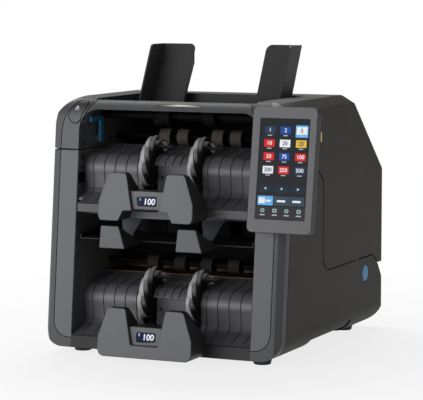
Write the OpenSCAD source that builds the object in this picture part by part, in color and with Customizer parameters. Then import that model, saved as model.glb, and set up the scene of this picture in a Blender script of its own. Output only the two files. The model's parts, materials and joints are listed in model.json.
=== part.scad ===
// Banknote sorter for a counter: two stacking pockets, a reject tray between
// them, a touch screen on the right pillar and a hopper on top. The upper unit
// tips back on two hinge pins. Millimetres, X right, Y back, Z up.

/* [Case] */
// Width of the case across its sides
case_w = 290; // [280:1:304]
// Height of the underside above the table
case_bottom = 8; // [6:0.5:10]
// Height of the flat top above the table
case_top = 290; // [288:0.5:294]
// Depth from the foot of the leaning front to the back wall
case_depth = 338; // [334:1:347]
// Angle by which the front leans back
front_lean = 5.8; // [5:0.1:6.4]
// Radius of the two upper front corners
corner_r = 36; // [32:1:38]
// Radius of the lower edges along the sides
foot_corner_r = 22; // [20:1:28]
// Width of the slanted edges beside the leaning front
front_slant = 6.3; // [5:0.1:7]
// Width of the slanted edge along the top
chamfer_w = 12; // [9:0.5:14]
// Height of the slanted edge along the top
chamfer_h = 10.5; // [8:0.5:12]
// Depth at which the flat top turns down to the back
top_depth = 222; // [211:1:229]
// Angle of the sloping back below the horizontal
back_slope = 40.8; // [37:0.2:43]
// Radius where the slope meets the back wall
back_r = 26; // [15:1:32]
// Radius of the back edge of the underside
back_bottom_r = 34; // [30:1:42]
// Radius where the front rolls over into the top
top_front_r = 26; // [20:1:28]
// Radius of the upright back corners
upright_r = 8; // [4:0.5:12]
// Wall of the case mouldings
wall = 3; // [2:0.25:3.5]
// Height of the hand grips under the sides
grip_h = 9; // [6:0.5:11]

/* [Front frame] */
// Depth of the moulding round the pockets
frame_depth = 19; // [16:0.5:22]
// Width of the pillars beside the pocket opening
pillar_w = 34; // [32:0.5:37]
// Height of the lower edge of the pocket opening
pocket_bottom = 22; // [20:0.5:23]
// Height of the upper edge of the pocket opening
pocket_top = 278; // [275:0.5:280]
// Radius of the upper corners of the opening
opening_r = 22; // [16:1:26]
// Width of the rim outside the pillar plates
rim_w = 11; // [9:0.5:13]
// Thickness of the pillar plates
bezel_t = 2.4; // [1.8:0.2:3]
// Radius by which the pillar plates bend in at the top
bend_r = 60; // [54:1:66]
// Seam between neighbouring mouldings
seam = 0.4; // [0.3:0.05:0.6]

/* [Upper unit] */
// Height of the split across the front pillars
split_z = 232; // [230:0.5:236]
// Gap along the split
split_gap = 1.2; // [1:0.1:1.6]
// Depth at which the split turns down
split_y1 = 88.5; // [84:0.5:94]
// Depth of the upright stretch of the split
split_y2 = 134; // [130:0.5:138]
// Height where the upright stretch starts
split_z2 = 197; // [194:0.5:200]
// Height of the long lower stretch of the split
split_low = 92.5; // [91:0.5:95]
// Radius of the corner of the split
split_r = 18; // [12:1:22]
// Distance from the back wall at which the split drops towards the hinge
drop_inset = 39.5; // [36:0.5:44]
// Distance of the hinge line from the back wall
hinge_inset = 18.5; // [17:0.5:21]
// Height of the hinge line
hinge_z = 80; // [78:0.5:82]
// Angle of the notch behind the hinge
notch_angle = 52; // [50:1:56]
// Radius of the hinge pins
hinge_r = 3; // [2.5:0.1:3.5]
// Thickness of the steel frame plates
plate_t = 2; // [1.5:0.1:2.5]

/* [Pockets] */
// Height between the two pockets
pocket_pitch = 150; // [148:0.5:152]
// Depth by which the upper pocket is set back
pocket_step = 4; // [3:0.5:5]
// Depth of the lip in front of the pocket floor
lip_y = 3.5; // [3:0.25:4.5]
// Height of the lip of the lower pocket
lip_z = 22.5; // [22.4:0.1:23.4]
// Height of the lip bar
lip_h = 9.3; // [8:0.1:10]
// Slope of the pocket floor
floor_angle = 19.5; // [18:0.5:21]
// Depth of the stacker shaft
stacker_y = 52; // [51:0.25:53]
// Height of the lower stacker shaft
stacker_z = 59; // [58:0.25:60]
// Radius of the drum surface round the shaft
drum_r = 18; // [17:0.25:19]
// Wall of the pocket guides
guide_t = 2.5; // [2:0.1:3]
// Distance between the grooves of the side drums
groove_pitch = 14; // [12:0.5:15]
// Distance between the grooves of the centre drum
fine_groove_pitch = 9.4; // [8:0.2:10]
// Width of a groove
groove_w = 1.2; // [0.8:0.1:1.6]

/* [Stackers] */
// Distance of a stacker wheel from the middle
wheel_x = 30; // [28:0.5:32]
// Width of a stacker wheel
wheel_w = 10; // [8:0.5:11]
// Radius over the blade tips
wheel_r = 39.5; // [37:0.25:40]
// Number of blades on a wheel
blade_count = 12; // [10:1:16]
// Thickness of a blade
blade_t = 1.5; // [1.2:0.1:1.8]
// Radius of the stacker shafts
shaft_r = 4; // [3.5:0.1:4.5]
// Radius of the drive pulleys
pulley_r = 12; // [10:0.5:13]
// Clearance round a turning shaft
run_gap = 0.05; // [0.03:0.01:0.08]

/* [Towers] */
// Width of a front tower
tower_w = 115; // [108:1:120]
// Height of a front tower
tower_h = 54.5; // [52:0.5:58]
// Height of the underside of the lower tower
tower_z = 8.5; // [8.2:0.1:9.5]
// Distance from the lip to the front of a tower at its foot
tower_reach = 42; // [38:0.5:44]
// Width between the two ears at the top
ear_gap = 49; // [46:0.5:54]
// Width of an ear at the top
ear_w = 22; // [18:0.5:25]
// Width of the display panel between the ears
panel_w = 33; // [30:0.5:35]
// Height of the display panel
panel_h = 20; // [17:0.5:22]
// Depth of the display panel behind the ears
panel_set = 4.5; // [3:0.25:6]

/* [Reject tray] */
// Height of the reject tray above the table
tray_z = 131; // [130:0.5:133]
// Thickness of the tray sheet
tray_t = 1.2; // [0.8:0.1:1.6]
// Distance of the stops and flaps from the middle
stop_x = 47; // [45:0.5:50]
// Height of a stop
stop_h = 26; // [23:0.5:28]
// Radius of the flap rod
flap_rod_r = 2.5; // [2:0.1:3]

/* [Screen] */
// Width of the touch screen
screen_w = 75; // [72:0.5:78]
// Height of the touch screen
screen_h = 137; // [132:0.5:139]
// Thickness of the touch screen
screen_t = 12.5; // [11:0.25:13]
// Distance of its left edge from the middle of the case
screen_x = 109; // [107:0.5:112]
// Height of its lower edge above the table
screen_z = 152; // [150:0.5:154]
// Angle by which the screen leans back
screen_lean = 8.7; // [7.8:0.1:8.8]
// Distance of the screen in front of the pillar at its lower edge
screen_off = 20.5; // [20:0.5:22]
// Height of the glass
glass_h = 110; // [104:0.5:112]
// Width of the glass
glass_w = 58; // [54:0.5:60]

/* [Hopper] */
// Width of the hopper opening
hopper_w = 200; // [196:1:204]
// Depth of the front edge of the hopper
hopper_front = 44; // [43:0.5:46]
// Depth of the back edge of the hopper
hopper_back = 190; // [186:1:194]
// Height of the hopper floor at its front
hopper_floor = 279; // [277:0.5:281]
// Height of the tops of the note guides
guide_top = 348; // [340:1:355]
// Angle by which the note guides lean back
guide_lean = 27.6; // [26:0.2:29]
// Width of a note guide
guide_w = 44; // [40:0.5:46]
// Depth of the flange on a note guide
flange_d = 32.5; // [28:0.5:34]
// Distance of the flange from the middle
flange_x = 90; // [88:0.5:91]
// Travel of a note guide towards the middle
guide_in = 30; // [24:1:32]
// Travel of a note guide outwards
guide_out = 5; // [3:0.5:5]
// Radius of the rollers that feed and deliver notes
roller_r = 10; // [9:0.25:10.5]

/* [Hidden] */
$fn = 72;

// Places worked out from the sizes above
far = 500;
half_w = case_w / 2;
pocket_w = case_w - 2 * pillar_w;
pocket_x = pocket_w / 2;
plate_x = pocket_x + plate_t;
pan_x = half_w - foot_corner_r;
hinge_y = case_depth - hinge_inset;
split_drop = case_depth - drop_inset;
fit_gap = 0.3;
press_gap = 0.02;
tangent_slack = 0.02;
plate_bottom = case_bottom + wall + 0.5;
slope_foot_z = case_top - (case_depth - top_depth) * tan(back_slope);
tower_front_y = lip_y - tower_reach;
screen_foot_y = front_y(screen_z) - screen_off;
mid_x = (screen_x + screen_w - half_w) / 2;
mid_y = (tower_front_y + case_depth) / 2;
upper_shift = [0, pocket_step, pocket_pitch];
chamfer_slant = sqrt(1 / (chamfer_w * chamfer_w) + 1 / (chamfer_h * chamfer_h));

// Case colours as the photograph shows them
case_grey = [0.22, 0.21, 0.20];
rim_grey = [0.25, 0.25, 0.26];
plate_grey = [0.45, 0.46, 0.47];
dark_grey = [0.17, 0.17, 0.18];
steel_grey = [0.55, 0.56, 0.58];
touch_blue = [0.20, 0.48, 0.65];

function front_y(z) = z * tan(front_lean);
function unit(a) = [cos(a), sin(a)];

// Moves the case frame so that the origin lies under the middle of the object
module placed() translate([-mid_x, -mid_y, 0]) children();

// Extrudes an outline drawn as depth and height from x0 to x1
module along_x(x0, x1) translate([x0, 0, 0]) rotate([90, 0, 90]) linear_extrude(x1 - x0) children();

// Extrudes an outline drawn as width and height from y0 to y1
module along_y(y0, y1) translate([0, y1, 0]) rotate([90, 0, 0]) linear_extrude(y1 - y0) children();

// Repeats its children on the left as a mirror image
module both_sides() {
  children();
  mirror([1, 0, 0]) children();
}

// A rod along X at a depth and height
module rod(x0, x1, y, z, r) translate([x0, y, z]) rotate([0, 90, 0]) cylinder(h = x1 - x0, r = r);

// What a round of radius r takes off a corner p between the edges a1 and a2
module corner_cut(p, a1, a2, r) {
  half = (a2 - a1) / 2;
  middle = unit((a1 + a2) / 2);
  t1 = p + unit(a1) * r / tan(half);
  t2 = p + unit(a2) * r / tan(half);
  centre = p + middle * r / sin(half);
  difference() {
    polygon([centre, t1, t1 + unit(a1 - 90), p - middle / sin(half), t2 + unit(a2 + 90), t2]);
    translate(centre) circle(r);
  }
}

// Side view of the case, drawn in by an inset
module case_side(inset) {
  foot = case_bottom + inset;
  top = case_top - inset;
  set_back = inset / cos(front_lean);
  front_foot = [front_y(foot) + set_back, foot];
  front_top = [front_y(top) + set_back, top];
  top_back = [top_depth - inset * tan(back_slope / 2), top];
  slope_foot = [case_depth - inset, slope_foot_z - inset * tan(45 - back_slope / 2)];
  back_foot = [case_depth - inset, foot];
  difference() {
    polygon([front_foot, front_top, top_back, slope_foot, back_foot]);
    corner_cut(front_top, 270 - front_lean, 360, top_front_r - inset);
    corner_cut(top_back, 180, 360 - back_slope, top_back_r - inset);
    corner_cut(slope_foot, 180 - back_slope, 270, back_r - inset);
    corner_cut(back_foot, 90, 180, back_bottom_r - inset);
  }
}
top_back_r = 12;

// Front view of the case, drawn in by an inset
module case_front(inset) {
  foot = case_bottom + inset;
  top = case_top - inset;
  side = half_w - inset;
  keep = 1 + inset * (chamfer_slant - 1 / chamfer_w - 1 / chamfer_h);
  difference() {
    polygon([[-side, foot], [side, foot], [side, top - chamfer_h * keep], [side - chamfer_w * keep, top],
             [chamfer_w * keep - side, top], [-side, top - chamfer_h * keep]]);
    corner_cut([side, foot], 90, 180, foot_corner_r - inset);
    corner_cut([-side, foot], 0, 90, foot_corner_r - inset);
  }
}

// Plan of the case with its rounded back corners
module case_plan(inset) {
  side = half_w - inset;
  back = case_depth - inset;
  difference() {
    translate([-side, -far / 2]) square([2 * side, back + far / 2]);
    corner_cut([side, back], 180, 270, upright_r - inset);
    corner_cut([-side, back], 270, 360, upright_r - inset);
  }
}

// The front corners are rounder than the slanted edge and run out into it
blend_length = 76;
blend_rise = 6.6;
module corner_blend(inset) {
  tilt = atan2(blend_rise, blend_length);
  translate([half_w - corner_r, front_y(case_top), case_top - corner_r]) difference() {
    translate([0, -far / 8, 0]) cube([corner_r + 8, blend_length + far / 8, corner_r + 8]);
    rotate([tilt - 90, 0, -tilt]) cylinder(h = far, r = corner_r - inset, center = true, $fn = 96);
  }
}

// What the slanted edge takes off the right side of the leaning front
module front_edge(inset) {
  cut = front_slant + inset * sqrt(2);
  reach = far / 50;
  rotate([-front_lean, 0, 0]) translate([0, 0, -far / 4]) linear_extrude(far)
    polygon([[half_w - cut - reach, -reach], [half_w + reach, -reach], [half_w + reach, cut + reach]]);
}

// The whole case as a solid, drawn in by an inset
module case_solid(inset) difference() {
  intersection() {
    along_x(-half_w, half_w) case_side(inset);
    along_y(-far / 4, far) case_front(inset);
    linear_extrude(far) case_plan(inset);
  }
  both_sides() {
    corner_blend(inset);
    front_edge(inset);
  }
}

// Slab of the given depth behind the leaning front
module front_zone(depth) along_x(-far / 2, far / 2) polygon([
  [front_y(-far) - far / 4, -far], [front_y(far) - far / 4, far],
  [front_y(far) + depth, far], [front_y(-far) + depth, -far]]);

// Side view of what stays on the base, below the split and its notch
module base_side() translate([-split_gap / 2, -split_gap / 2]) difference() {
  polygon([[-far, -far], [-far, split_z], [split_y1, split_z], [split_y2, split_z2],
           [split_y2, split_low + split_r], [split_y2 + split_r, split_low + split_r],
           [split_y2 + split_r, split_low], [split_drop, split_low], [hinge_y, hinge_z],
           [hinge_y + far, hinge_z - far * tan(notch_angle)], [hinge_y + far, -2 * far]]);
  translate([split_y2 + split_r, split_low + split_r]) circle(split_r);
}

// Side view of what tips back with the upper unit
module upper_side() translate([split_gap / 2, split_gap / 2]) difference() {
  polygon([[-far, split_z], [split_y1, split_z], [split_y2, split_z2], [split_y2, split_low],
           [split_drop, split_low], [hinge_y, hinge_z], [far, hinge_z], [far, far], [-far, far]]);
  corner_cut([split_y2, split_low], 0, 90, split_r);
}

// Front view of the pocket opening
module opening_front() difference() {
  translate([-pocket_x, pocket_bottom]) square([pocket_w, pocket_top - pocket_bottom]);
  corner_cut([pocket_x, pocket_top], 180, 270, opening_r);
  corner_cut([-pocket_x, pocket_top], 270, 360, opening_r);
}

// Hopper opening in plan, grown by a gap
module hopper_plan(gap) {
  translate([-hopper_w / 2 - gap, hopper_front - gap])
    square([hopper_w + 2 * gap, hopper_back - hopper_front + 2 * gap]);
}

// Everything inside a line that runs up and bends in at the top
bend_z = 247;
module inside_bend(x) {
  translate([0, -far]) square([x, bend_z + far]);
  intersection() {
    translate([x - bend_r, bend_z]) circle(bend_r, $fn = 128);
    translate([0, bend_z - 1]) square(far);
  }
}

// Front view of a pillar plate, drawn in by a gap
plate_corner_r = 19;
module bezel_front(gap) {
  foot = case_bottom + rim_w + gap;
  outer = half_w - rim_w - gap;
  difference() {
    inside_bend(outer);
    inside_bend(pocket_x - 1 + gap);
    translate([-far, foot - far]) square([2 * far, far]);
    corner_cut([outer, foot], 90, 180, plate_corner_r - gap);
  }
}

// Skin of the leaning front, t thick and standing proud by p
module front_skin(p, t) intersection() {
  difference() {
    case_solid(-p);
    case_solid(t);
  }
  front_zone(frame_depth);
}

// Recess for the pillar plates of both sides
module bezel_recess() intersection() {
  front_skin(1, bezel_t);
  both_sides() along_y(-far / 4, far) bezel_front(0);
}

// Plates of both pillars, whole
module bezel_blank() intersection() {
  difference() {
    front_skin(0, bezel_t);
    along_y(-far / 4, far) opening_front();
  }
  both_sides() along_y(-far / 4, far) bezel_front(seam);
}

// Walls of the lower case, behind the front frame
module lower_shell() difference() {
  intersection() {
    case_solid(0);
    along_x(-far, far) base_side();
  }
  case_solid(wall);
  front_zone(frame_depth + seam);
}

// Recess for a hand under the lower edge of the right side
grip_x = plate_x + 1;
grip_front = 94;
grip_back = 229;
grip_ramp = 14;
grip_kick = 6;
module grip_side(grow) {
  top = case_bottom + grip_h + grow;
  polygon([[grip_front - grow, 0], [grip_front + grip_ramp - grow, top],
           [grip_back - grip_ramp - grow, top], [grip_back - grip_ramp / 2 - grow, top + grip_kick],
           [grip_back + grow, top + grip_kick], [grip_back + grow, 0]]);
}

// Release button of the right side
release_y = case_depth - 63;
release_z = 73;
release_r = 10;
release_d = 9;
module release_button() {
  rod(half_w - release_d, half_w, release_y, release_z, release_r);
  rod(half_w - release_d - 2, half_w - release_d, release_y, release_z, release_r - 3);
}

// Side cover of the right side, with its grip and its button sleeve
module side_cover() difference() {
  union() {
    intersection() {
      lower_shell();
      translate([pan_x, -far, -far]) cube(2 * far);
    }
    intersection() {
      case_solid(0);
      along_x(grip_x, half_w) grip_side(wall);
    }
    rod(half_w - wall - release_d, half_w - 1, release_y, release_z, release_r + fit_gap + 2);
  }
  along_x(grip_x + wall, half_w + 1) grip_side(0);
  rod(half_w - far / 10, half_w + 1, release_y, release_z, release_r + fit_gap);
}

module left_side_cover() placed() color(case_grey) mirror([1, 0, 0]) side_cover();
module right_side_cover() placed() color(case_grey) side_cover();

// Flat floor of the case between the side covers, notched round their grips
pan_back = case_depth - back_bottom_r;
module bottom_pan() placed() color(case_grey) difference() {
  intersection() {
    lower_shell();
    translate([-pan_x, -far, 0]) cube([2 * pan_x, far + pan_back, far]);
  }
  both_sides() along_x(grip_x - seam / 2, half_w) grip_side(wall + seam / 2);
}

// Recess in the back for the mains inlet and the switch, and air slots beside it
port_x0 = -96;
port_x1 = -22;
port_z0 = 20;
port_z1 = 50;
port_y = case_depth - 38;
vent_count = 9;
vent_x = 12;
vent_pitch = 10;
vent_w = 4;

module rear_lower_cover() placed() color(case_grey) difference() {
  intersection() {
    lower_shell();
    translate([-pan_x, pan_back, 0]) cube([2 * pan_x, far, far]);
  }
  translate([port_x0, pan_back - 1, port_z0]) cube([port_x1 - port_x0, far, port_z1 - port_z0]);
  for (i = [0 : vent_count - 1]) translate([vent_x + i * vent_pitch, pan_back - 1, port_z0])
    cube([vent_w, far, port_z1 - port_z0]);
}

// Tray let into the back, with holes for the inlet and the switch
inlet_x = -74;
inlet_w = 27.6;
inlet_h = 20.2;
switch_x = -38;
switch_w = 19.4;
switch_h = 14;
rocker_r = 11;
rocker_pin_r = 1.5;
rocker_set = 8;
rocker_y = port_y - rocker_set;
switch_box_d = 14;
rocker_w = switch_w - 2 * fit_gap;
rocker_h = 10.8;
port_z = (port_z0 + port_z1) / 2;
module port_hole(x, w, h) translate([x - w / 2, -far, port_z - h / 2]) cube([w, 2 * far, h]);
module connector_panel() placed() color(dark_grey) difference() {
  union() {
    intersection() {
      case_solid(wall);
      translate([port_x0 - 2, port_y - 2, port_z0 - 2])
        cube([port_x1 - port_x0 + 4, far, port_z1 - port_z0 + 4]);
    }
    translate([switch_x - switch_w / 2 - 2, port_y - switch_box_d, port_z - switch_h / 2 - 2])
      cube([switch_w + 4, switch_box_d - 1, switch_h + 4]);
  }
  translate([port_x0, port_y, port_z0]) cube([port_x1 - port_x0, far, port_z1 - port_z0]);
  port_hole(inlet_x, inlet_w, inlet_h);
  port_hole(switch_x, switch_w, switch_h);
  rod(switch_x - switch_w / 2 - 1.2, switch_x + switch_w / 2 + 1.2, rocker_y, port_z, rocker_pin_r + run_gap);
}

// Mains inlet with three blades in a deep socket
module power_inlet() placed() color([0.06, 0.06, 0.06]) translate([inlet_x, port_y, port_z]) {
  difference() {
    union() {
      translate([-inlet_w / 2 + 0.2, -16, -inlet_h / 2 + 0.2]) cube([inlet_w - 0.4, 16, inlet_h - 0.4]);
      translate([-inlet_w / 2 - 2, 0, -inlet_h / 2 - 2]) cube([inlet_w + 4, 2, inlet_h + 4]);
    }
    translate([-12, -13, -8]) cube([24, far, 16]);
  }
  for (x = [-7, 0, 7]) translate([x - 1, -13, x == 0 ? 0 : -4]) cube([2, 11, 4]);
}

// Rocker that turns on the mains, on two pins in the panel
module power_switch() placed() color([0.05, 0.05, 0.05]) {
  intersection() {
    rod(switch_x - rocker_w / 2, switch_x + rocker_w / 2, rocker_y, port_z, rocker_r);
    translate([switch_x - far / 2, rocker_y - 2.5, port_z - rocker_h / 2]) cube([far, 20, rocker_h]);
  }
  rod(switch_x - switch_w / 2 - 1, switch_x + switch_w / 2 + 1, rocker_y, port_z, rocker_pin_r);
}

// Moulding round the pockets, up to the split
module front_frame() placed() color(rim_grey) difference() {
  intersection() {
    case_solid(0);
    front_zone(frame_depth);
    along_x(-far, far) base_side();
  }
  along_y(-far / 4, far) opening_front();
  bezel_recess();
}

module pillar_plates() placed() color(plate_grey) intersection() {
  bezel_blank();
  along_x(-far, far) base_side();
}

// Depth of the back of the front frame at a height
function frame_back(z) = front_y(z) + frame_depth;

// Steel side plate of the base, which carries the shafts and the hinge pin
exit_y = 101;
exit_z = 97;
exit_shaft_r = 3;
flap_y = 40;
flap_z = 159.5;
plate_back = hinge_y - 16.5;
motor_y = 132;
motor_z = 42;
ear_r = 8;
ear_reach = 40;
module frame_plate() difference() {
  union() {
    along_x(pocket_x, plate_x) intersection() {
      base_side();
      polygon([[frame_back(plate_bottom), plate_bottom], [frame_back(far), far], [far, far],
               [plate_back, hinge_z], [pan_back - 6, plate_bottom]]);
    }
    along_x(pocket_x, plate_x) translate([hinge_y, hinge_z]) rotate(210)
      stadium([0, 0], [ear_reach, 0], ear_r);
  }
  rod(0, half_w, hinge_y, hinge_z, hinge_r + press_gap);
  rod(0, half_w, stacker_y, stacker_z, shaft_r + run_gap);
  rod(0, half_w, stacker_y + pocket_step, stacker_z + pocket_pitch, shaft_r + run_gap);
  rod(0, half_w, exit_y, exit_z, exit_shaft_r + run_gap);
  rod(0, half_w, flap_y, flap_z, flap_rod_r + run_gap);
}
module left_frame_plate() placed() color(dark_grey) difference() {
  mirror([1, 0, 0]) frame_plate();
  rod(-half_w, 0, motor_y, motor_z, motor_boss_r + press_gap);
}
module right_frame_plate() placed() color(dark_grey) frame_plate();

// Pins on which the upper unit tips back
arm_t = 2.5;
module hinge_pins() placed() color(steel_grey) both_sides() {
  rod(pocket_x - 2, plate_x + arm_t + 2.5, hinge_y, hinge_z, hinge_r);
  rod(pocket_x - 2, pocket_x, hinge_y, hinge_z, hinge_r + 2);
  rod(plate_x + arm_t + 2 * fit_gap, plate_x + arm_t + 2.5, hinge_y, hinge_z, hinge_r + 2);
}

// Soft feet under the corners
foot_r = 11;
foot_x = pan_x - foot_r;
module rubber_feet() placed() color([0.08, 0.08, 0.08]) both_sides()
  for (y = [frame_back(0) + foot_r + 4, pan_back - foot_r - 4]) translate([foot_x, y, 0]) {
    cylinder(h = case_bottom - 2, r1 = foot_r - 1.5, r2 = foot_r);
    translate([0, 0, case_bottom - 2]) cylinder(h = 2, r = foot_r);
  }

// Profile of a pocket: floor, riser, drum and the run to the rollers behind
drum_c = [stacker_y, stacker_z];
drum_sink = 0.6;
groove_d = 1.2;
run_angle = 12;
run_length = 42;
riser_rise = 5.5;
riser_set = 4;
floor_end_y = stacker_y - drum_r - 1;
floor_end = [floor_end_y, floor_z(floor_end_y, 0)];
riser_foot = floor_end + [riser_set, riser_rise];
drum_end = drum_c + (drum_r - drum_sink) * unit(90 + run_angle);
run_end = drum_end + run_length * unit(run_angle);
function floor_z(y, inset) = lip_z + (y - lip_y) * tan(floor_angle) - inset / cos(floor_angle);
function run_z(y, inset) = drum_end[1] + (y - drum_end[0]) * tan(run_angle) - inset / cos(run_angle);

// Everything under the face of the pocket, drawn in by an inset
module pocket_outline(inset) {
  lip = lip_y + inset;
  floor_y = floor_end_y + 0.6 * inset;
  r = drum_r - inset - drum_sink;
  back = run_end[0] + inset;
  polygon([[lip, -far - inset], [lip, floor_z(lip, inset)], [floor_y, floor_z(floor_y, inset)],
           riser_foot + inset * [1, -0.4], [stacker_y - r, stacker_z - 2],
           drum_c + r * unit(90 + run_angle), [back, run_z(back, inset)], [back, -far - inset]]);
}
module pocket_body(x0, x1, inset) {
  along_x(x0, x1) pocket_outline(inset);
  rod(x0, x1, stacker_y, stacker_z, drum_r - inset);
}

// Layer of the pocket between two insets, above a foot
module pocket_skin(x0, x1, outer, inner, foot) difference() {
  pocket_body(x0, x1, outer);
  pocket_body(x0 - 1, x1 + 1, inner);
  translate([-far, -far, foot - 2 * far]) cube(2 * far);
}

// Guide of a pocket, with slots for the stacker wheels and a window in the middle
guide_x = pocket_x - fit_gap;
slot_in = wheel_x - wheel_w / 2 - 2;
slot_out = wheel_x + wheel_w / 2 + 1.5;
groove_x = slot_out + 7.1;
window_front = floor_end_y - 4;
window_back = stacker_y + 14;
groove_foot = lip_z + 2;
module pocket_groove(x, foot) pocket_skin(x - groove_w / 2, x + groove_w / 2, -1, groove_d, foot);
module pocket_guide() difference() {
  pocket_skin(-guide_x, guide_x, 0, guide_t, lip_z - lip_h);
  both_sides() along_x(slot_in - 0.2, slot_out) translate(drum_c) circle(wheel_r + 1);
  translate([-slot_in, window_front, floor_end[1] + fit_gap])
    cube([2 * slot_in, window_back - window_front, 3 * drum_r]);
  both_sides() for (x = [groove_x : groove_pitch : guide_x - 2 * groove_w])
    pocket_groove(x, groove_foot);
}

// Width of the lip of the upper pocket, which stands in front of the frame
lip_x = pocket_x - 6.5;
lip_depth = 14;
module lower_pocket_guide() placed() color(dark_grey) difference() {
  pocket_guide();
  translate([-far / 2, -far / 2, pocket_bottom - far]) cube(far);
}
module upper_pocket_guide() placed() color(dark_grey) translate(upper_shift) difference() {
  pocket_guide();
  both_sides() translate([lip_x, lip_y - far, -far / 2]) cube([far, far + lip_depth, far]);
}

// Middle drum with a ledge, a recessed plate under it and fine grooves
ledge_h = 7;
recess_y = stacker_y - 8.5;
center_x = slot_in - fit_gap;
center_seat = 0.25;
module across_center() along_x(-center_x, center_x) children();
module center_guide() difference() {
  union() {
    intersection() {
      pocket_skin(-center_x, center_x, 0, guide_t, stacker_z + ledge_h);
      translate([-far / 2, window_back - fit_gap - far, 0]) cube(far);
    }
    across_center() intersection() {
      translate(drum_c) circle(drum_r - guide_t / 2);
      translate([0, stacker_z + ledge_h]) square([recess_y + guide_t, guide_t]);
    }
    across_center() translate([recess_y, floor_end[1] + center_seat])
      square([guide_t, stacker_z + ledge_h + 1 - floor_end[1]]);
    across_center() translate([riser_foot[0] - 0.2, floor_end[1] + center_seat - guide_t])
      square([recess_y + guide_t - riser_foot[0] + 0.2, guide_t]);
  }
  for (x = [-2 : 2]) pocket_groove(x * fine_groove_pitch, stacker_z + 1);
}
module lower_center_guide() placed() color(dark_grey) center_guide();
module upper_center_guide() placed() color(dark_grey) translate(upper_shift) center_guide();

// Stacker wheel: curved blades that start in the hub and are cut off at the
// rim, towards which the wheel narrows on both sides
hub_r = 14;
blade_ring_r = 0.652 * wheel_r;
blade_ring_c = 0.392 * wheel_r;
blade_taper = 0.3;
blade_tip_w = 0.35 * wheel_w;
narrow_from = 0.74 * wheel_r;
module wheel_side() {
  circle(hub_r);
  for (i = [0 : blade_count - 1]) rotate(i * 360 / blade_count) intersection() {
    translate([blade_ring_c, 0]) difference() {
      circle(blade_ring_r);
      translate([blade_taper, 0]) circle(blade_ring_r - blade_t);
    }
    translate([-far / 2, 0]) square([far, far / 2]);
    circle(wheel_r);
  }
}
module wheel_round() rotate([0, 90, 0]) rotate_extrude() polygon([
  [0, -wheel_w / 2], [narrow_from, -wheel_w / 2], [wheel_r + 1, -blade_tip_w / 2],
  [wheel_r + 1, blade_tip_w / 2], [narrow_from, wheel_w / 2], [0, wheel_w / 2]]);
module stacker_wheels() both_sides() translate([wheel_x, stacker_y, stacker_z]) difference() {
  intersection() {
    along_x(-wheel_w, wheel_w) wheel_side();
    wheel_round();
  }
  rod(-wheel_w, wheel_w, 0, 0, shaft_r + press_gap);
}
module lower_stacker_wheels() placed() color(steel_grey) stacker_wheels();
module upper_stacker_wheels() placed() color(steel_grey) translate(upper_shift) stacker_wheels();

// Belt pulley on the left, whose inner face lies x from the middle
pulley_w = 8;
pulley_x = plate_x + 3;
outer_pulley_x = pulley_x + pulley_w + 2;
motor_pulley_r = pulley_r - 2;
flange_r = 1.5;
flange_t = 0.8;
module pulley(x, c, r) {
  rod(-x - pulley_w, -x, c[0], c[1], r);
  rod(-x - pulley_w, flange_t - x - pulley_w, c[0], c[1], r + flange_r);
  rod(-x - flange_t, -x, c[0], c[1], r + flange_r);
}

module stacker_shaft(left_end) {
  rod(-left_end, plate_x + 1.5, stacker_y, stacker_z, shaft_r);
  pulley(pulley_x, drum_c, pulley_r);
}
module lower_stacker_shaft() placed() color(steel_grey) {
  stacker_shaft(outer_pulley_x + pulley_w);
  pulley(outer_pulley_x, drum_c, motor_pulley_r);
}
module upper_stacker_shaft() placed() color(steel_grey) translate(upper_shift)
  stacker_shaft(pulley_x + pulley_w + 2);

// Motor on the left plate, and its pulley with the motor shaft
motor_r = 20;
motor_len = 48;
motor_boss_r = 12;
motor_shaft_r = 3;
motor_bore = 20;
motor_c = [motor_y, motor_z];
module main_motor() placed() color(steel_grey) difference() {
  union() {
    rod(-pocket_x, motor_len - pocket_x, motor_y, motor_z, motor_r);
    rod(-plate_x - 1, 1 - pocket_x, motor_y, motor_z, motor_boss_r);
    rod(motor_len - pocket_x - 1, motor_len - pocket_x + 4, motor_y, motor_z, motor_r / 2);
  }
  rod(-plate_x - 2, motor_bore - pocket_x, motor_y, motor_z, motor_shaft_r + run_gap);
}
module motor_pulley() placed() color(steel_grey) {
  rod(-outer_pulley_x - pulley_w, motor_bore - pocket_x - 0.5, motor_y, motor_z, motor_shaft_r);
  pulley(outer_pulley_x, motor_c, motor_pulley_r);
}

// Flat belts round two pulleys of one size
belt_t = 1.5;
module stadium(p, q, r) {
  side = r - tangent_slack;
  translate(p) circle(r);
  translate(q) circle(r);
  translate(p) rotate(atan2(q[1] - p[1], q[0] - p[0])) translate([0, -side]) square([norm(q - p), 2 * side]);
}
module belt(x, p, q, r) {
  edge = flange_t + fit_gap;
  along_x(-x - pulley_w + edge, -x - edge) difference() {
    stadium(p, q, r + fit_gap + belt_t);
    stadium(p, q, r + fit_gap);
  }
}
module drive_belts() placed() color([0.09, 0.09, 0.09]) {
  belt(pulley_x, drum_c, drum_c + [pocket_step, pocket_pitch], pulley_r);
  belt(outer_pulley_x, drum_c, motor_c, motor_pulley_r);
}

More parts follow.
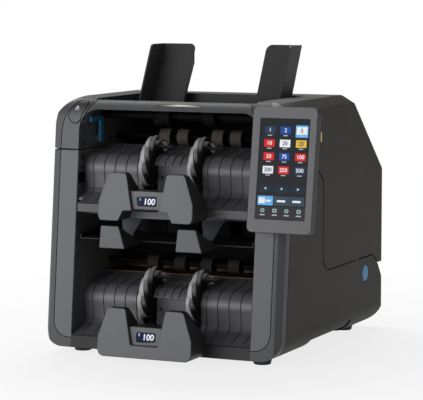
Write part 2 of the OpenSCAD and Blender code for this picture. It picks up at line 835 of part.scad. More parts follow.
// Front outline of a tower: two ears on a band, from the middle of its foot
band_h = 14.5;
shoulder_h = 22;
tower_half = tower_w / 2;
ear_in = ear_gap / 2;
ear_out = ear_in + ear_w;
foot_round = 8;
ear_round = 5;
ear_inner_round = 4;
taper_angle = atan2(tower_h - shoulder_h, tower_half - ear_out);
gap_angle = atan2(tower_h - band_h, ear_in - panel_w / 2);
module ear_gap_front() polygon([
  [-panel_w / 2, band_h], [panel_w / 2, band_h],
  [ear_in, tower_h], [ear_in, 2 * tower_h], [-ear_in, 2 * tower_h], [-ear_in, tower_h]]);
module tower_outline() difference() {
  polygon([[-tower_half, 0], [tower_half, 0], [tower_half, shoulder_h], [ear_out, tower_h],
           [ear_in, tower_h], [panel_w / 2, band_h], [-panel_w / 2, band_h], [-ear_in, tower_h],
           [-ear_out, tower_h], [-tower_half, shoulder_h]]);
  corner_cut([tower_half, 0], 90, 180, foot_round);
  corner_cut([-tower_half, 0], 0, 90, foot_round);
  corner_cut([ear_out, tower_h], 180, 360 - taper_angle, ear_round);
  corner_cut([-ear_out, tower_h], 180 + taper_angle, 360, ear_round);
  corner_cut([ear_in, tower_h], 180 + gap_angle, 360, ear_inner_round);
  corner_cut([-ear_in, tower_h], 180, 360 - gap_angle, ear_inner_round);
}

// Side view of a tower: a wedge that leans back, with its front set in by a depth
tower_top_t = 10;
tower_back_z = 14.5;
module tower_wedge(set_in) {
  lean = tan(front_lean);
  front = tower_front_y + set_in;
  top_back = tower_front_y + tower_h * lean + tower_top_t;
  polygon([[front, 0], [front + tower_h * lean, tower_h], [top_back, tower_h],
           [lip_y, tower_back_z + 5.6], [lip_y, 0]]);
}
module tower() translate([0, 0, tower_z]) {
  intersection() {
    along_y(-far / 4, far / 4) tower_outline();
    along_x(-tower_half, tower_half) tower_wedge(0);
  }
  intersection() {
    along_y(-far / 4, far / 4) intersection() {
      ear_gap_front();
      translate([-ear_in, band_h - 1]) square([ear_gap, panel_h + 1]);
    }
    along_x(-tower_half, tower_half) tower_wedge(panel_set);
  }
}

// Places its children on the display panel, x across, y inwards and z up the panel
display_w = 22.5;
display_h = 9;
display_t = 1;
display_z = 19;
module on_panel() translate([0, tower_front_y + panel_set, tower_z]) rotate([-front_lean, 0, 0])
  translate([0, 0, display_z / cos(front_lean)]) children();
module count_display() on_panel() translate([-display_w / 2, 0.2, 0])
  cube([display_w, display_t, display_h]);
module display_recess() on_panel() translate([-display_w / 2 - 0.1, -2, -0.1])
  cube([display_w + 0.2, display_t + 2.2, display_h + 0.2]);

module lower_front_tower() placed() color(plate_grey) difference() {
  tower();
  case_solid(0);
  display_recess();
}

// The upper tower is open underneath for a hand
tower_trim = 1.5;
notch_h = 13;
notch_top = 27;
notch_foot = 34;
notch_depth = 30;
module upper_front_tower() placed() color(plate_grey) translate(upper_shift) difference() {
  tower();
  display_recess();
  translate([-far / 2, -far / 2, tower_z + tower_trim - far]) cube(far);
  translate([0, 0, tower_z]) along_y(-far / 4, tower_front_y + notch_depth)
    polygon([[-notch_foot, -1], [notch_foot, -1], [notch_top, notch_h], [-notch_top, notch_h]]);
}
module lower_count_display() placed() color([0.11, 0.15, 0.33]) count_display();
module upper_count_display() placed() color([0.11, 0.15, 0.33]) translate(upper_shift) count_display();

// Sheet tray for rejected notes, fixed to the frame plates by two tabs
tray_x = pocket_x - 3.5;
tray_front = 18.7;
tray_back = 105;
tray_rim = 6;
tray_tab = 20;
module reject_tray() placed() color(dark_grey) {
  translate([-tray_x, tray_front, tray_z]) cube([2 * tray_x, tray_back - tray_front, tray_t]);
  both_sides() translate([tray_x - tray_t, tray_front, tray_z])
    cube([tray_t, tray_back - tray_front, tray_rim]);
  translate([-pocket_x, tray_back - tray_tab, tray_z]) cube([pocket_w, tray_tab, tray_t]);
}

// Wedges in front of the tray that stop the notes
stop_foot = 16;
stop_top = 11;
stop_front = -21;
stop_lean = 5;
stop_tip = 3;
stop_drop = 4;
module reject_stops() placed() color(plate_grey) both_sides() intersection() {
  translate([stop_x, 0, tray_z - stop_drop]) along_y(-far / 4, far / 4)
    polygon([[-stop_foot, 0], [stop_foot, 0], [stop_top, stop_h], [-stop_top, stop_h]]);
  translate([0, 0, tray_z - stop_drop]) along_x(0, far) polygon([
    [stop_front, 0], [stop_front - stop_lean, stop_h], [stop_front - stop_lean + stop_tip, stop_h],
    [tray_front, stop_drop + tray_t], [tray_front, stop_drop - 2]]);
}

// Flaps on a rod above the tray, which lean forwards and swing up as notes come out
flap_x = stop_x + 3;
flap_top = 15;
flap_foot = 5.5;
flap_h = 28;
flap_t = 2;
flap_lean = 30;
module reject_flaps() placed() color(dark_grey) {
  rod(-plate_x - 0.5, plate_x + 0.5, flap_y, flap_z, flap_rod_r);
  both_sides() {
    translate([flap_x, flap_y, flap_z]) rotate([-flap_lean, 0, 0]) along_y(-flap_t / 2, flap_t / 2)
      polygon([[-flap_top, 0], [flap_top, 0], [flap_foot, -flap_h], [-flap_foot, -flap_h]]);
    rod(flap_x - flap_top, flap_x + flap_top, flap_y, flap_z, flap_rod_r + 1.5);
  }
}

// Rollers on one shaft through both plates
module roller_set(y, z, r, width, shaft, places) {
  rod(-plate_x - 1, plate_x + 1, y, z, shaft);
  both_sides() for (x = places) rod(x - width / 2, x + width / 2, y, z, r);
}

// Rollers that deliver notes to the lower pocket, and the sheets round them
exit_roller_w = 13.5;
lower_roller_r = roller_r - 1;
lower_roller_x = [17, 51];
sheet_t = 1;
sheet_low = run_end[1] + 0.6;
sheet_high = exit_z + 0.5;
sheet_back = split_y2 - 4;
module lower_exit_rollers() placed() color([0.24, 0.22, 0.21])
  roller_set(exit_y, exit_z, lower_roller_r, exit_roller_w, exit_shaft_r, lower_roller_x);
module lower_exit_guide() placed() color([0.38, 0.30, 0.24]) difference() {
  along_x(-guide_x, guide_x) {
    translate([run_end[0] + 0.4, sheet_low]) square([sheet_back - run_end[0] - 0.4, sheet_t]);
    translate([exit_y + exit_shaft_r + 1.5, sheet_high])
      square([sheet_back - exit_y - exit_shaft_r - 1.5, sheet_t]);
    translate([sheet_back - sheet_t, sheet_low]) square([sheet_t, sheet_high - sheet_low + sheet_t]);
  }
  both_sides() for (x = lower_roller_x)
    rod(x - exit_roller_w / 2 - 1, x + exit_roller_w / 2 + 1, exit_y, exit_z, lower_roller_r + 1);
}

// Upright plate that leads notes up behind the pockets
transport_y = split_y2 - 8;
plate_slot = [16, 40];
plate_slot_rise = 30;
plate_slots = 5;
plate_edge = 21.4;
plate_slot_pitch = (2 * guide_x - plate_edge) / plate_slots;
module transport_plate() placed() color(dark_grey) difference() {
  translate([-guide_x, transport_y, sheet_high + sheet_t])
    cube([2 * guide_x, 2, split_z2 - split_gap - sheet_high - sheet_t - 4]);
  for (i = [0 : plate_slots - 1])
    translate([(i - (plate_slots - 1) / 2) * plate_slot_pitch - plate_slot[0] / 2, transport_y - 1,
               sheet_high + plate_slot_rise])
      cube([plate_slot[0], 4, plate_slot[1]]);
}

// Screws in the inner faces of the pillars
screw_r = 3.2;
screw_head = 1.5;
screw_y = 33;
screw_drops = [10, 21, 42];
module frame_screws() placed() color(steel_grey) both_sides() for (drop = screw_drops)
  rod(pocket_x - screw_head, pocket_x, screw_y, split_z - drop, screw_r);

// Places its children on the leaning screen, x across, y inwards and z up its face
screen_round = 6;
glass_t = 1;
glass_set = 0.2;
glass_z = (screen_h - glass_h) / 2 + 1;
glass_x = (screen_w - glass_w) / 2 + 0.5;
module on_screen() translate([screen_x, screen_foot_y, screen_z]) rotate([-screen_lean, 0, 0]) children();
module rounded_sheet(w, h, r) difference() {
  square([w, h]);
  corner_cut([0, 0], 0, 90, r);
  corner_cut([w, 0], 90, 180, r);
  corner_cut([w, h], 180, 270, r);
  corner_cut([0, h], 270, 360, r);
}
module screen_housing() placed() color(plate_grey) on_screen() difference() {
  along_y(0, screen_t) rounded_sheet(screen_w, screen_h, screen_round);
  translate([glass_x, -1, glass_z]) cube([glass_w, glass_t + glass_set + 1, glass_h]);
}
module screen_glass() placed() color([0.13, 0.16, 0.17]) on_screen()
  translate([glass_x + 0.1, glass_set, glass_z + 0.1]) cube([glass_w - 0.2, glass_t, glass_h - 0.2]);

// Wedge that carries the screen on the right pillar
bracket_x = 116;
bracket_w = 24;
bracket_z = 165;
bracket_h = 60;
function screen_back(z) = screen_foot_y + (z - screen_z) * tan(screen_lean) + screen_t / cos(screen_lean);
module screen_bracket() placed() color(dark_grey) along_x(bracket_x, bracket_x + bracket_w) polygon([
  [screen_back(bracket_z), bracket_z], [screen_back(bracket_z + bracket_h), bracket_z + bracket_h],
  [front_y(bracket_z + bracket_h), bracket_z + bracket_h], [front_y(bracket_z), bracket_z]]);

// Power supply on the floor of the case, with slots in its lid
supply = [0.41 * case_w, 100, 39];
supply_clear = 30;
supply_y = port_y - supply_clear - supply[1];
supply_z = case_bottom + wall;
supply_slot = [6, 80, 3];
supply_slots = 9;
module power_supply() placed() color(steel_grey) difference() {
  translate([-supply[0] / 2, supply_y, supply_z]) cube(supply);
  for (i = [1 : supply_slots])
    translate([(i / (supply_slots + 1) - 0.5) * supply[0] - supply_slot[0] / 2, supply_y + 10,
               supply_z + supply[2] - supply_slot[2]])
      cube([supply_slot[0], supply_slot[1], 2 * supply_slot[2]]);
}

// Control board on four standoffs on the right plate
board = [1.6, 0.48 * case_depth, 58];
board_x = plate_x + 3;
board_y = 70;
board_z = split_low - board[2] - 4.5;
standoff_r = 3;
standoff_in = 6;
chip = [3, 28, 28];
socket = [9, 12, 36];
module control_board() placed() color([0.10, 0.28, 0.16]) {
  translate([board_x, board_y, board_z]) cube(board);
  for (y = [board_y + standoff_in, board_y + board[1] - standoff_in])
    for (z = [board_z + standoff_in, board_z + board[2] - standoff_in])
      rod(plate_x, board_x + 0.5, y, z, standoff_r);
  translate([board_x + board[0] - 0.1, board_y + board[1] / 4, board_z + 15]) cube(chip);
  translate([board_x + board[0] - 0.1, board_y + 0.75 * board[1], board_z + 10]) cube(socket);
}

module left_release_button() placed() color(touch_blue) mirror([1, 0, 0]) release_button();
module right_release_button() placed() color(touch_blue) release_button();

// Walls of the upper case, behind the front beam
tray_wall = 2.2;
module hopper_cut() translate([0, 0, hopper_floor - far / 10]) linear_extrude(far)
  hopper_plan(tray_wall + fit_gap);
usb_y = 127;
usb_z = 247;
usb_w = 5;
usb_h = 13.5;
usb_depth = 17;
module upper_cover() placed() color(case_grey) difference() {
  intersection() {
    case_solid(0);
    along_x(-far, far) upper_side();
  }
  case_solid(wall);
  front_zone(frame_depth + seam);
  hopper_cut();
  translate([half_w - 2 * wall, usb_y - usb_w / 2, usb_z - usb_h / 2]) cube([far, usb_w, usb_h]);
}

// Socket in the right side of the upper unit, with its tongue
module usb_port() placed() color([0.10, 0.10, 0.10])
  translate([half_w - usb_depth - wall, usb_y, usb_z]) {
    difference() {
      translate([0, -usb_w / 2 - 1.5, -usb_h / 2 - 1.5]) cube([usb_depth, usb_w + 3, usb_h + 3]);
      translate([2, -usb_w / 2 + 0.2, -usb_h / 2 + 0.4]) cube([far, usb_w - 0.4, usb_h - 0.8]);
    }
    translate([1, -0.2, -usb_h / 2 + 1.6]) cube([usb_depth - 2, 1.4, usb_h - 3.2]);
  }

// Crescent light in the beam
lens_w = 58;
lens_h = 2;
lens_x = 9.6;
lens_z = 283.2;
lens_d = 1.2;
lens_r = (lens_w * lens_w / 4 + lens_h * lens_h) / (2 * lens_h);
module lens_front(grow) translate([lens_x, lens_z]) intersection() {
  translate([0, lens_h - lens_r]) circle(lens_r + grow, $fn = 180);
  translate([-lens_w, -grow]) square([2 * lens_w, lens_h + 2 * grow]);
}
module lens_skin(proud, grow) intersection() {
  difference() {
    case_solid(-proud);
    case_solid(lens_d + grow);
  }
  front_zone(frame_depth);
  along_y(-far / 4, far / 4) lens_front(grow);
}
module indicator_lens() placed() color([0.62, 0.56, 0.46]) lens_skin(0.3, 0);

// Oval key on the left upper corner; its prism points out of the surface
key_inset = 30;
key_c = [key_inset - half_w, 30, 277];
key_w = 15;
key_l = 30;
key_t = 5;
key_proud = 0.3;
key_travel = 2;
key_gap = 0.4;
module key_prism(grow, depth) translate(key_c) rotate([58, 0, -12]) rotate([0, 0, -15])
  translate([0, 0, -depth]) linear_extrude(far / 10) stadium(
    [0, (key_w - key_l) / 2], [0, (key_l - key_w) / 2], key_w / 2 + grow);
module open_button() placed() color(rim_grey) intersection() {
  key_prism(0, key_t);
  case_solid(-key_proud);
}
module key_pocket() key_prism(key_gap, key_t + key_travel + 1);

// Moulding above the split: the beam over the pockets and the heads of the pillars
module front_beam() placed() color(rim_grey) difference() {
  intersection() {
    case_solid(0);
    front_zone(frame_depth);
    along_x(-far, far) upper_side();
  }
  along_y(-far / 4, far) opening_front();
  bezel_recess();
  hopper_cut();
  lens_skin(1, 0.15);
  key_pocket();
}
module upper_bezel_plates() placed() color(plate_grey) difference() {
  intersection() {
    bezel_blank();
    along_x(-far, far) upper_side();
  }
  hopper_cut();
  key_pocket();
}

// Tray of the hopper, whose floor falls towards the back
floor_fall = 9;
pickup_x = 28;
pickup_y = 84;
pickup_r = roller_r + 1;
pickup_w = 14;
pickup_z = tray_floor(pickup_y) + 3.4 - pickup_r;
rail_y = 164;
rail_z = tray_floor(rail_y) - 12.6;
rail_r = 4;
stem_x = 68;
stem_w = 8;
stem_t = 6;
function tray_floor(y) = hopper_floor - floor_fall * (y - hopper_front) / (hopper_back - hopper_front);
module above_floor(drop) {
  front = hopper_front - tray_wall - 1;
  back = hopper_back + tray_wall + 1;
  along_x(-far / 2, far / 2) polygon([[front, tray_floor(front) - drop], [back, tray_floor(back) - drop],
                                      [back, far], [front, far]]);
}
module hopper_tray() placed() color(dark_grey) difference() {
  intersection() {
    linear_extrude(far) hopper_plan(tray_wall);
    case_solid(0.2);
    above_floor(tray_wall);
  }
  intersection() {
    linear_extrude(far) hopper_plan(0);
    above_floor(0);
  }
  both_sides() {
    translate([pickup_x - pickup_w / 2 - 1, pickup_y - pickup_r, 0]) cube([pickup_w + 2, 2 * pickup_r, far]);
    translate([stem_x - stem_w / 2 - guide_in - 0.5, rail_y - stem_t / 2 - 0.5, 0])
      cube([stem_w + guide_in + guide_out + 1, stem_t + 1, far]);
  }
}

// Side plates of the upper unit, with the stud of the lever on the left one
lever_x = 103.2;
lever_t = 3.4;
lever_y = 67.5;
lever_z = 243.5;
lever_stud_r = 2;
upper_exit_y = 121;
upper_exit_z = 242;
module upper_plate_side() difference() {
  intersection() {
    upper_side();
    case_side(wall + 0.4);
    polygon([[frame_back(0), 0], [frame_back(far), far], [plate_back - 3.5, far], [plate_back - 3.5, 0]]);
  }
  translate([upper_exit_y, upper_exit_z]) circle(exit_shaft_r + run_gap);
  translate([pickup_y, pickup_z]) circle(shaft_r + run_gap);
  translate([rail_y, rail_z]) circle(rail_r + press_gap);
}
module upper_frame_plates() placed() color(dark_grey) {
  both_sides() along_x(pocket_x, plate_x) upper_plate_side();
  rod(-pocket_x - 0.5, -lever_x - 0.4, lever_y, lever_z, lever_stud_r);
  rod(-pocket_x - 0.5, -lever_x - lever_t - fit_gap, lever_y, lever_z, lever_stud_r + 2.5);
}

// Arms from the hinge pins to the side plates of the upper unit
arm_r = 8;
arm_reach = 36.5;
arm_rise = 65;
arm_end = [hinge_y - arm_reach, hinge_z + arm_rise];
module hinge_arms() placed() color(steel_grey) both_sides()
  along_x(plate_x + fit_gap, plate_x + fit_gap + arm_t) difference() {
    stadium([hinge_y, hinge_z], arm_end, arm_r);
    translate([hinge_y, hinge_z]) circle(hinge_r + run_gap);
  }

// Blue lever that frees a jam, on the stud of the left plate
lever_bar = 5.5;
lever_stem = 7;
lever_top = 268.5;
lever_foot = 238.5;
lever_front = 42;
lever_back = lever_y + lever_stem / 2;
module jam_lever() placed() color(touch_blue) along_x(-lever_x - lever_t, -lever_x) difference() {
  polygon([[lever_front, lever_top], [lever_front, lever_top - lever_bar],
           [lever_back - lever_stem, lever_top - lever_bar], [lever_back - lever_stem, lever_foot],
           [lever_back, lever_foot], [lever_back, lever_top]]);
  translate([lever_y, lever_z]) circle(lever_stud_r + run_gap);
}

// Rollers that deliver notes to the upper pocket, and the guide under them
upper_roller_x = [22, 45];
module upper_exit_rollers() placed() color([0.24, 0.22, 0.21])
  roller_set(upper_exit_y, upper_exit_z, roller_r, exit_roller_w, exit_shaft_r, upper_roller_x);
exit_sheet_y = upper_exit_y - roller_r - 3;
exit_sheet_z = upper_exit_z - roller_r - 6;
exit_sheet_d = 21;
module exit_guide() placed() color(dark_grey) along_x(-guide_x, guide_x) polygon([
  [exit_sheet_y, exit_sheet_z], [exit_sheet_y + exit_sheet_d, exit_sheet_z + 3],
  [exit_sheet_y + exit_sheet_d, exit_sheet_z + 5], [exit_sheet_y, exit_sheet_z + 4]]);

// Rollers that pull notes out of the hopper
module pickup_rollers() placed() color([0.24, 0.22, 0.21])
  roller_set(pickup_y, pickup_z, pickup_r, pickup_w, shaft_r, [pickup_x]);

// Sensor bar across the note path, with a window underneath
scanner = [45, 35];
scanner_y = split_y2 + 6;
scanner_z = split_z2 + 3;
scanner_wall = 8;
module scanner_head() placed() color(dark_grey) along_x(-guide_x, guide_x) difference() {
  translate([scanner_y, scanner_z]) square(scanner);
  translate([scanner_y + scanner_wall, scanner_z - 1]) square([scanner[0] - 2 * scanner_wall, 3]);
}

// Rod on which the note guides slide
module guide_rail() placed() color(steel_grey) rod(-plate_x, plate_x, rail_y, rail_z, rail_r);

// Note guide of the right side: leaning plate, side flange, rib and runner
guide_sheet = 2.5;
guide_y = rail_y - 0.4;
guide_foot = tray_floor(guide_y - flange_d) + 1;
guide_round = 7.5;
boss_r = 8;
boss_w = 24;
rib_reach = 9;
function guide_back(z) = guide_y + (z - guide_foot) * tan(guide_lean);
module guide_band(front, back) polygon([
  [guide_y - front, guide_foot], [guide_back(guide_top) - front, guide_top],
  [guide_back(guide_top) + back, guide_top], [guide_y + back, guide_foot]]);
module hopper_guide() difference() {
  union() {
    intersection() {
      along_x(flange_x - guide_w, flange_x) guide_band(0, guide_sheet);
      along_y(0, far) difference() {
        translate([flange_x - guide_w, 0]) square([guide_w, guide_top]);
        corner_cut([flange_x - guide_w, guide_top], 270, 360, guide_round);
      }
    }
    along_x(flange_x - guide_sheet, flange_x) difference() {
      guide_band(flange_d, 1);
      corner_cut([guide_back(guide_top) - flange_d, guide_top], 270 - guide_lean, 360, guide_round);
    }
    along_x(flange_x - guide_w, flange_x - guide_w + guide_sheet) polygon([
      [guide_y + 1, guide_foot], [guide_back(guide_top - guide_round) + 1, guide_top - guide_round],
      [guide_back(guide_top - 3 * guide_round) + rib_reach, guide_top - 3 * guide_round],
      [guide_y + rib_reach, guide_foot + guide_round], [guide_y + guide_sheet, guide_foot]]);
    translate([stem_x - stem_w / 2, rail_y - stem_t / 2, rail_z])
      cube([stem_w, stem_t, guide_foot - rail_z + 1]);
    rod(stem_x - boss_w / 2, stem_x + boss_w / 2, rail_y, rail_z, boss_r);
  }
  rod(0, half_w, rail_y, rail_z, rail_r + run_gap);
}
module left_hopper_guide() placed() color(dark_grey) mirror([1, 0, 0]) hopper_guide();
module right_hopper_guide() placed() color(dark_grey) hopper_guide();

bottom_pan();
left_side_cover();
right_side_cover();
rear_lower_cover();
front_frame();
pillar_plates();
left_frame_plate();
right_frame_plate();
hinge_pins();
rubber_feet();
lower_pocket_guide();
upper_pocket_guide();
lower_center_guide();
upper_center_guide();
lower_front_tower();
upper_front_tower();
lower_count_display();
upper_count_display();
reject_tray();
reject_stops();
lower_exit_guide();
transport_plate();
frame_screws();
screen_housing();
screen_glass();
screen_bracket();
connector_panel();
power_inlet();
power_supply();
control_board();
main_motor();
drive_belts();
lower_stacker_shaft();
lower_stacker_wheels();
upper_stacker_shaft();
upper_stacker_wheels();
motor_pulley();
lower_exit_rollers();
reject_flaps();
left_release_button();
right_release_button();
power_switch();
upper_cover();
front_beam();
upper_bezel_plates();
indicator_lens();
open_button();
hopper_tray();
upper_frame_plates();
hinge_arms();
exit_guide();
scanner_head();
usb_port();
jam_lever();
upper_exit_rollers();
pickup_rollers();
guide_rail();
left_hopper_guide();
right_hopper_guide();
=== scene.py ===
# Lower case: the pan, two side covers and the back cover are injection mouldings in dark
# grey ABS with an eroded grain, screwed to the side plates. Their faces that look forwards,
# into the pockets, are painted near black as painted shade inside the case.
import json
import math

import bpy
from mathutils import Matrix, Vector

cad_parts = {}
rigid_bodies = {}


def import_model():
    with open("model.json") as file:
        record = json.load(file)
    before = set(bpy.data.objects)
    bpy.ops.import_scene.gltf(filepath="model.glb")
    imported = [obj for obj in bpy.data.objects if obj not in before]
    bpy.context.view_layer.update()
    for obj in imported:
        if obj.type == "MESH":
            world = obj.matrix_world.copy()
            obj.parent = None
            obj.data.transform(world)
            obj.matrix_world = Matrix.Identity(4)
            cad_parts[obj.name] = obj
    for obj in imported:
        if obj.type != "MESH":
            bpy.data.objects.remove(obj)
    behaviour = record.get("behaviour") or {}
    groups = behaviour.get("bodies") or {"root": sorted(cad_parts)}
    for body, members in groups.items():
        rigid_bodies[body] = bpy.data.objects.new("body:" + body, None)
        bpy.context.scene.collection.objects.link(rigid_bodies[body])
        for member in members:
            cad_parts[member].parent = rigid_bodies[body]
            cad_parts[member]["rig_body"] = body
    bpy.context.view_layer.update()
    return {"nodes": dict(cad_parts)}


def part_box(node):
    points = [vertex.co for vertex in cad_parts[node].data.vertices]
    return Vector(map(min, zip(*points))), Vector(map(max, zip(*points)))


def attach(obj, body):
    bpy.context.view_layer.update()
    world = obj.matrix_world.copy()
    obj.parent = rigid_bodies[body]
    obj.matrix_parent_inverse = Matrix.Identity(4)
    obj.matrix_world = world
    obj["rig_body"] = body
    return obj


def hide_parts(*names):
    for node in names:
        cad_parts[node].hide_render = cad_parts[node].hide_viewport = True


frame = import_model()


class Shade:
    """One output in a finish, so that its maths is written as sums."""

    def __init__(self, tree, socket=None):
        self.tree = tree
        self.socket = socket

    def feed(self, target, value):
        if isinstance(value, Shade):
            self.tree.links.new(value.socket, target)
        else:
            target.default_value = value

    def node(self, kind, settings=None, sockets=None, out=0):
        made = self.tree.nodes.new(kind)
        for name, value in (settings or {}).items():
            if name != "stops":
                setattr(made, name, value)
                continue
            ramp = made.color_ramp
            while len(ramp.elements) < len(value):
                ramp.elements.new(1.0)
            for element, (position, colour) in zip(ramp.elements, value):
                element.position = position
                element.color = colour
        for name, value in (sockets or {}).items():
            self.feed(made.inputs[name], value)
        return Shade(self.tree, made.outputs[out])

    def maths(self, operation, first, second=0.0):
        return self.node("ShaderNodeMath", {"operation": operation}, {0: first, 1: second})

    def mix(self, factor, first, second):
        sockets = {0: factor, 6: first, 7: second}
        return self.node("ShaderNodeMix", {"data_type": "RGBA"}, sockets, 2)

    def place(self, kind="Object"):
        return self.node("ShaderNodeTexCoord", out=kind)

    def axis(self, vector, letter):
        return self.node("ShaderNodeSeparateXYZ", None, {"Vector": vector}, letter)

    def noise(self, vector, scale, detail=2.0):
        sockets = {"Vector": vector, "Scale": scale, "Detail": detail}
        return self.node("ShaderNodeTexNoise", None, sockets)

    def share(self, value, low, high):
        sockets = {"Value": value, "From Min": low, "From Max": high}
        return self.node("ShaderNodeMapRange", None, sockets)

    def bump(self, height, strength, distance):
        sockets = {"Strength": strength, "Distance": distance, "Height": height}
        return self.node("ShaderNodeBump", None, sockets)

    def length(self, vector):
        return self.node("ShaderNodeVectorMath", {"operation": "LENGTH"}, {0: vector}, "Value")

    def radius(self, vector, y, z):
        sockets = {"Vector": vector, "Location": (0.0, -y, -z), "Scale": (0.0, 1.0, 1.0)}
        return self.length(self.node("ShaderNodeMapping", None, sockets))

    def __add__(self, other):
        return self.maths("ADD", self, other)

    def __sub__(self, other):
        return self.maths("SUBTRACT", self, other)

    def __rsub__(self, other):
        return self.maths("SUBTRACT", other, self)

    def __mul__(self, other):
        return self.maths("MULTIPLY", self, other)

    def __gt__(self, limit):
        return self.maths("GREATER_THAN", self, limit)

    __radd__ = __add__
    __rmul__ = __mul__


def srgb(*levels):
    """A colour as a screen shows it, from 0 to 255, in the light values that shaders use."""
    parts = [level / 255 for level in levels]
    light = [p / 12.92 if p < 0.04045 else ((p + 0.055) / 1.055) ** 2.4 for p in parts]
    return tuple(light) + (1.0,)


def toned(colour, share):
    """A colour made darker or paler by a share."""
    return [level * share for level in colour[:3]] + [1.0]


def finish(name, **fixed):
    """A new material, its shader with the values that are the same all over, and a Shade."""
    material = bpy.data.materials.new(name)
    material.use_nodes = True
    shader = material.node_tree.nodes["Principled BSDF"]
    for socket, value in fixed.items():
        shader.inputs[socket.replace("_", " ")].default_value = value
    return material, shader, Shade(material.node_tree)


def moulded(name, colour, rough, grain=0.0006, depth=0.25, mottle=0.07, flank=None,
            bend=(-0.80, -0.45), **fixed):
    """Moulded plastic: faint clouds in colour and gloss over a fine eroded grain.

    With a flank colour, only the faces that look forwards have the main one, which gives way to
    it as they turn from the front by the two limits of the bend.
    """
    material, shader, shade = finish(name, **fixed)
    place = shade.place()
    cloud = shade.noise(place, 24.0, 5.0)
    pits = shade.noise(place, 1 / grain)
    cloudy = cloud * 0.7 + pits * 0.3

    def mottled(tone):
        return shade.mix(cloudy, toned(tone, 1 - mottle), toned(tone, 1 + mottle))

    tint = mottled(colour)
    if flank:
        turned = shade.share(shade.axis(shade.place("Normal"), "Y"), *bend)
        tint = shade.mix(turned, tint, mottled(flank))
    shade.feed(shader.inputs["Base Color"], tint)
    shade.feed(shader.inputs["Roughness"], cloud * 0.10 + pits * 0.06 + (rough - 0.08))
    shade.feed(shader.inputs["Normal"], shade.bump(pits, depth, grain / 3))
    return material


def dress(material, *nodes):
    """Gives a finish to solids whose shape is right as it is."""
    for name in nodes:
        for holder in frame["nodes"][name].material_slots:
            holder.material = material


def softened(name, material, width, steps=2, holed=False):
    """A copy of a solid with its hard edges rounded as on a moulding, which stands for it.

    A flat face becomes one polygon, but a piece with a face round a hole keeps quads.
    """
    weld, one_plane, hard_edge = 0.000004, math.radians(0.4), math.radians(28)
    solid = frame["nodes"][name]
    bpy.ops.object.select_all(action="DESELECT")
    solid.select_set(True)
    bpy.context.view_layer.objects.active = solid
    bpy.ops.object.duplicate()
    piece = bpy.context.active_object
    for key in [k for k in piece.keys() if k.startswith("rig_")]:
        del piece[key]
    piece.name = name + "_rounded"
    piece.data.materials.clear()
    piece.data.materials.append(material)
    bpy.ops.object.mode_set(mode="EDIT")
    bpy.ops.mesh.customdata_custom_splitnormals_clear()
    bpy.ops.mesh.select_all(action="SELECT")
    bpy.ops.mesh.remove_doubles(threshold=weld)
    if holed:
        bpy.ops.mesh.tris_convert_to_quads(face_threshold=one_plane, shape_threshold=math.pi)
    else:
        bpy.ops.mesh.dissolve_limited(angle_limit=one_plane)
    bpy.ops.object.mode_set(mode="OBJECT")
    edges = piece.modifiers.new("edges", "BEVEL")
    edges.width = width
    edges.angle_limit = hard_edge
    edges.segments = steps
    edges.use_clamp_overlap = False
    edges.miter_outer = "MITER_ARC"
    bpy.ops.object.modifier_apply(modifier="edges")
    bpy.ops.object.shade_smooth_by_angle(angle=math.radians(35))
    flat = piece.modifiers.new("flat", "WEIGHTED_NORMAL")
    flat.keep_sharp = True
    bpy.ops.object.modifier_apply(modifier="flat")
    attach(piece, solid["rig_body"])
    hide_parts(name)


# Faces that look forwards take the near-black main colour as painted shade; the rest take the
# grey flank.
case_grey = moulded("case_abs", srgb(14, 14, 14), 0.6, flank=srgb(56, 54, 51),
                    Specular_IOR_Level=0.2)
dress(case_grey, "bottom_pan")
for cover in ("left_side_cover", "right_side_cover", "rear_lower_cover"):
    softened(cover, case_grey, 0.0006)


# Feet: four soft rubber pads under the pan, each pushed on a stud. The rubber is matt and
# takes up a little dust.
foot_rubber = moulded("foot_rubber", srgb(62, 62, 63), 0.85, 0.0009, 0.4)
softened("rubber_feet", foot_rubber, 0.0007)


# Side plates: steel sheet, punched for the shafts and painted grey with a fine orange peel.
# The plates of the upper unit match them, and riveted hinge arms and pins join the two.
def painted(name, colour, rough, gloss):
    """Sprayed paint on sheet, whose skin is coarser than that of a moulding."""
    return moulded(name, colour, rough, 0.0014, 0.3, 0.1, Specular_IOR_Level=gloss)


wall_paint = painted("wall_paint", srgb(88, 89, 87), 0.5, 0.2)
dress(wall_paint, "left_frame_plate", "right_frame_plate", "upper_frame_plates")


def drawn_steel(name, colour, rough, grain):
    """Bright steel with fine lines along its length, and clouds where it was handled."""
    material, shader, shade = finish(name)
    place = shade.place()
    stretched = shade.node("ShaderNodeMapping", None, {"Vector": place, "Scale": grain})
    lines = shade.noise(stretched, 1.0, 6.0)
    cloud = shade.noise(place, 45.0, 4.0)
    shade.feed(shader.inputs["Base Color"], shade.mix(cloud, toned(colour, 0.75), colour))
    shade.feed(shader.inputs["Roughness"], lines * 0.2 + cloud * 0.1 + (rough - 0.15))
    shade.feed(shader.inputs["Metallic"], cloud * 0.1 + 0.9)
    shade.feed(shader.inputs["Normal"], shade.bump(lines, 0.15, 0.0002))
    return material


steel = drawn_steel("turned_steel", srgb(172, 174, 178), 0.34, (60.0, 900.0, 900.0))
dress(steel, "hinge_pins", "hinge_arms")
screw_brown = drawn_steel("passivated_steel", srgb(84, 78, 70), 0.4, (300.0, 300.0, 300.0))
dress(screw_brown, "frame_screws")


# Drive: a can motor on the left plate turns both stacker shafts through two flat belts.
# Turned steel shafts with pressed pulleys, and belts of black neoprene.
dress(steel, "lower_stacker_shaft", "upper_stacker_shaft", "motor_pulley")
motor_can = drawn_steel("zinc_can", srgb(140, 142, 146), 0.42, (500.0, 30.0, 30.0))
dress(motor_can, "main_motor")
belt_rubber = moulded("belt_neoprene", srgb(24, 24, 25), 0.75, 0.0011, 0.5)
dress(belt_rubber, "drive_belts")


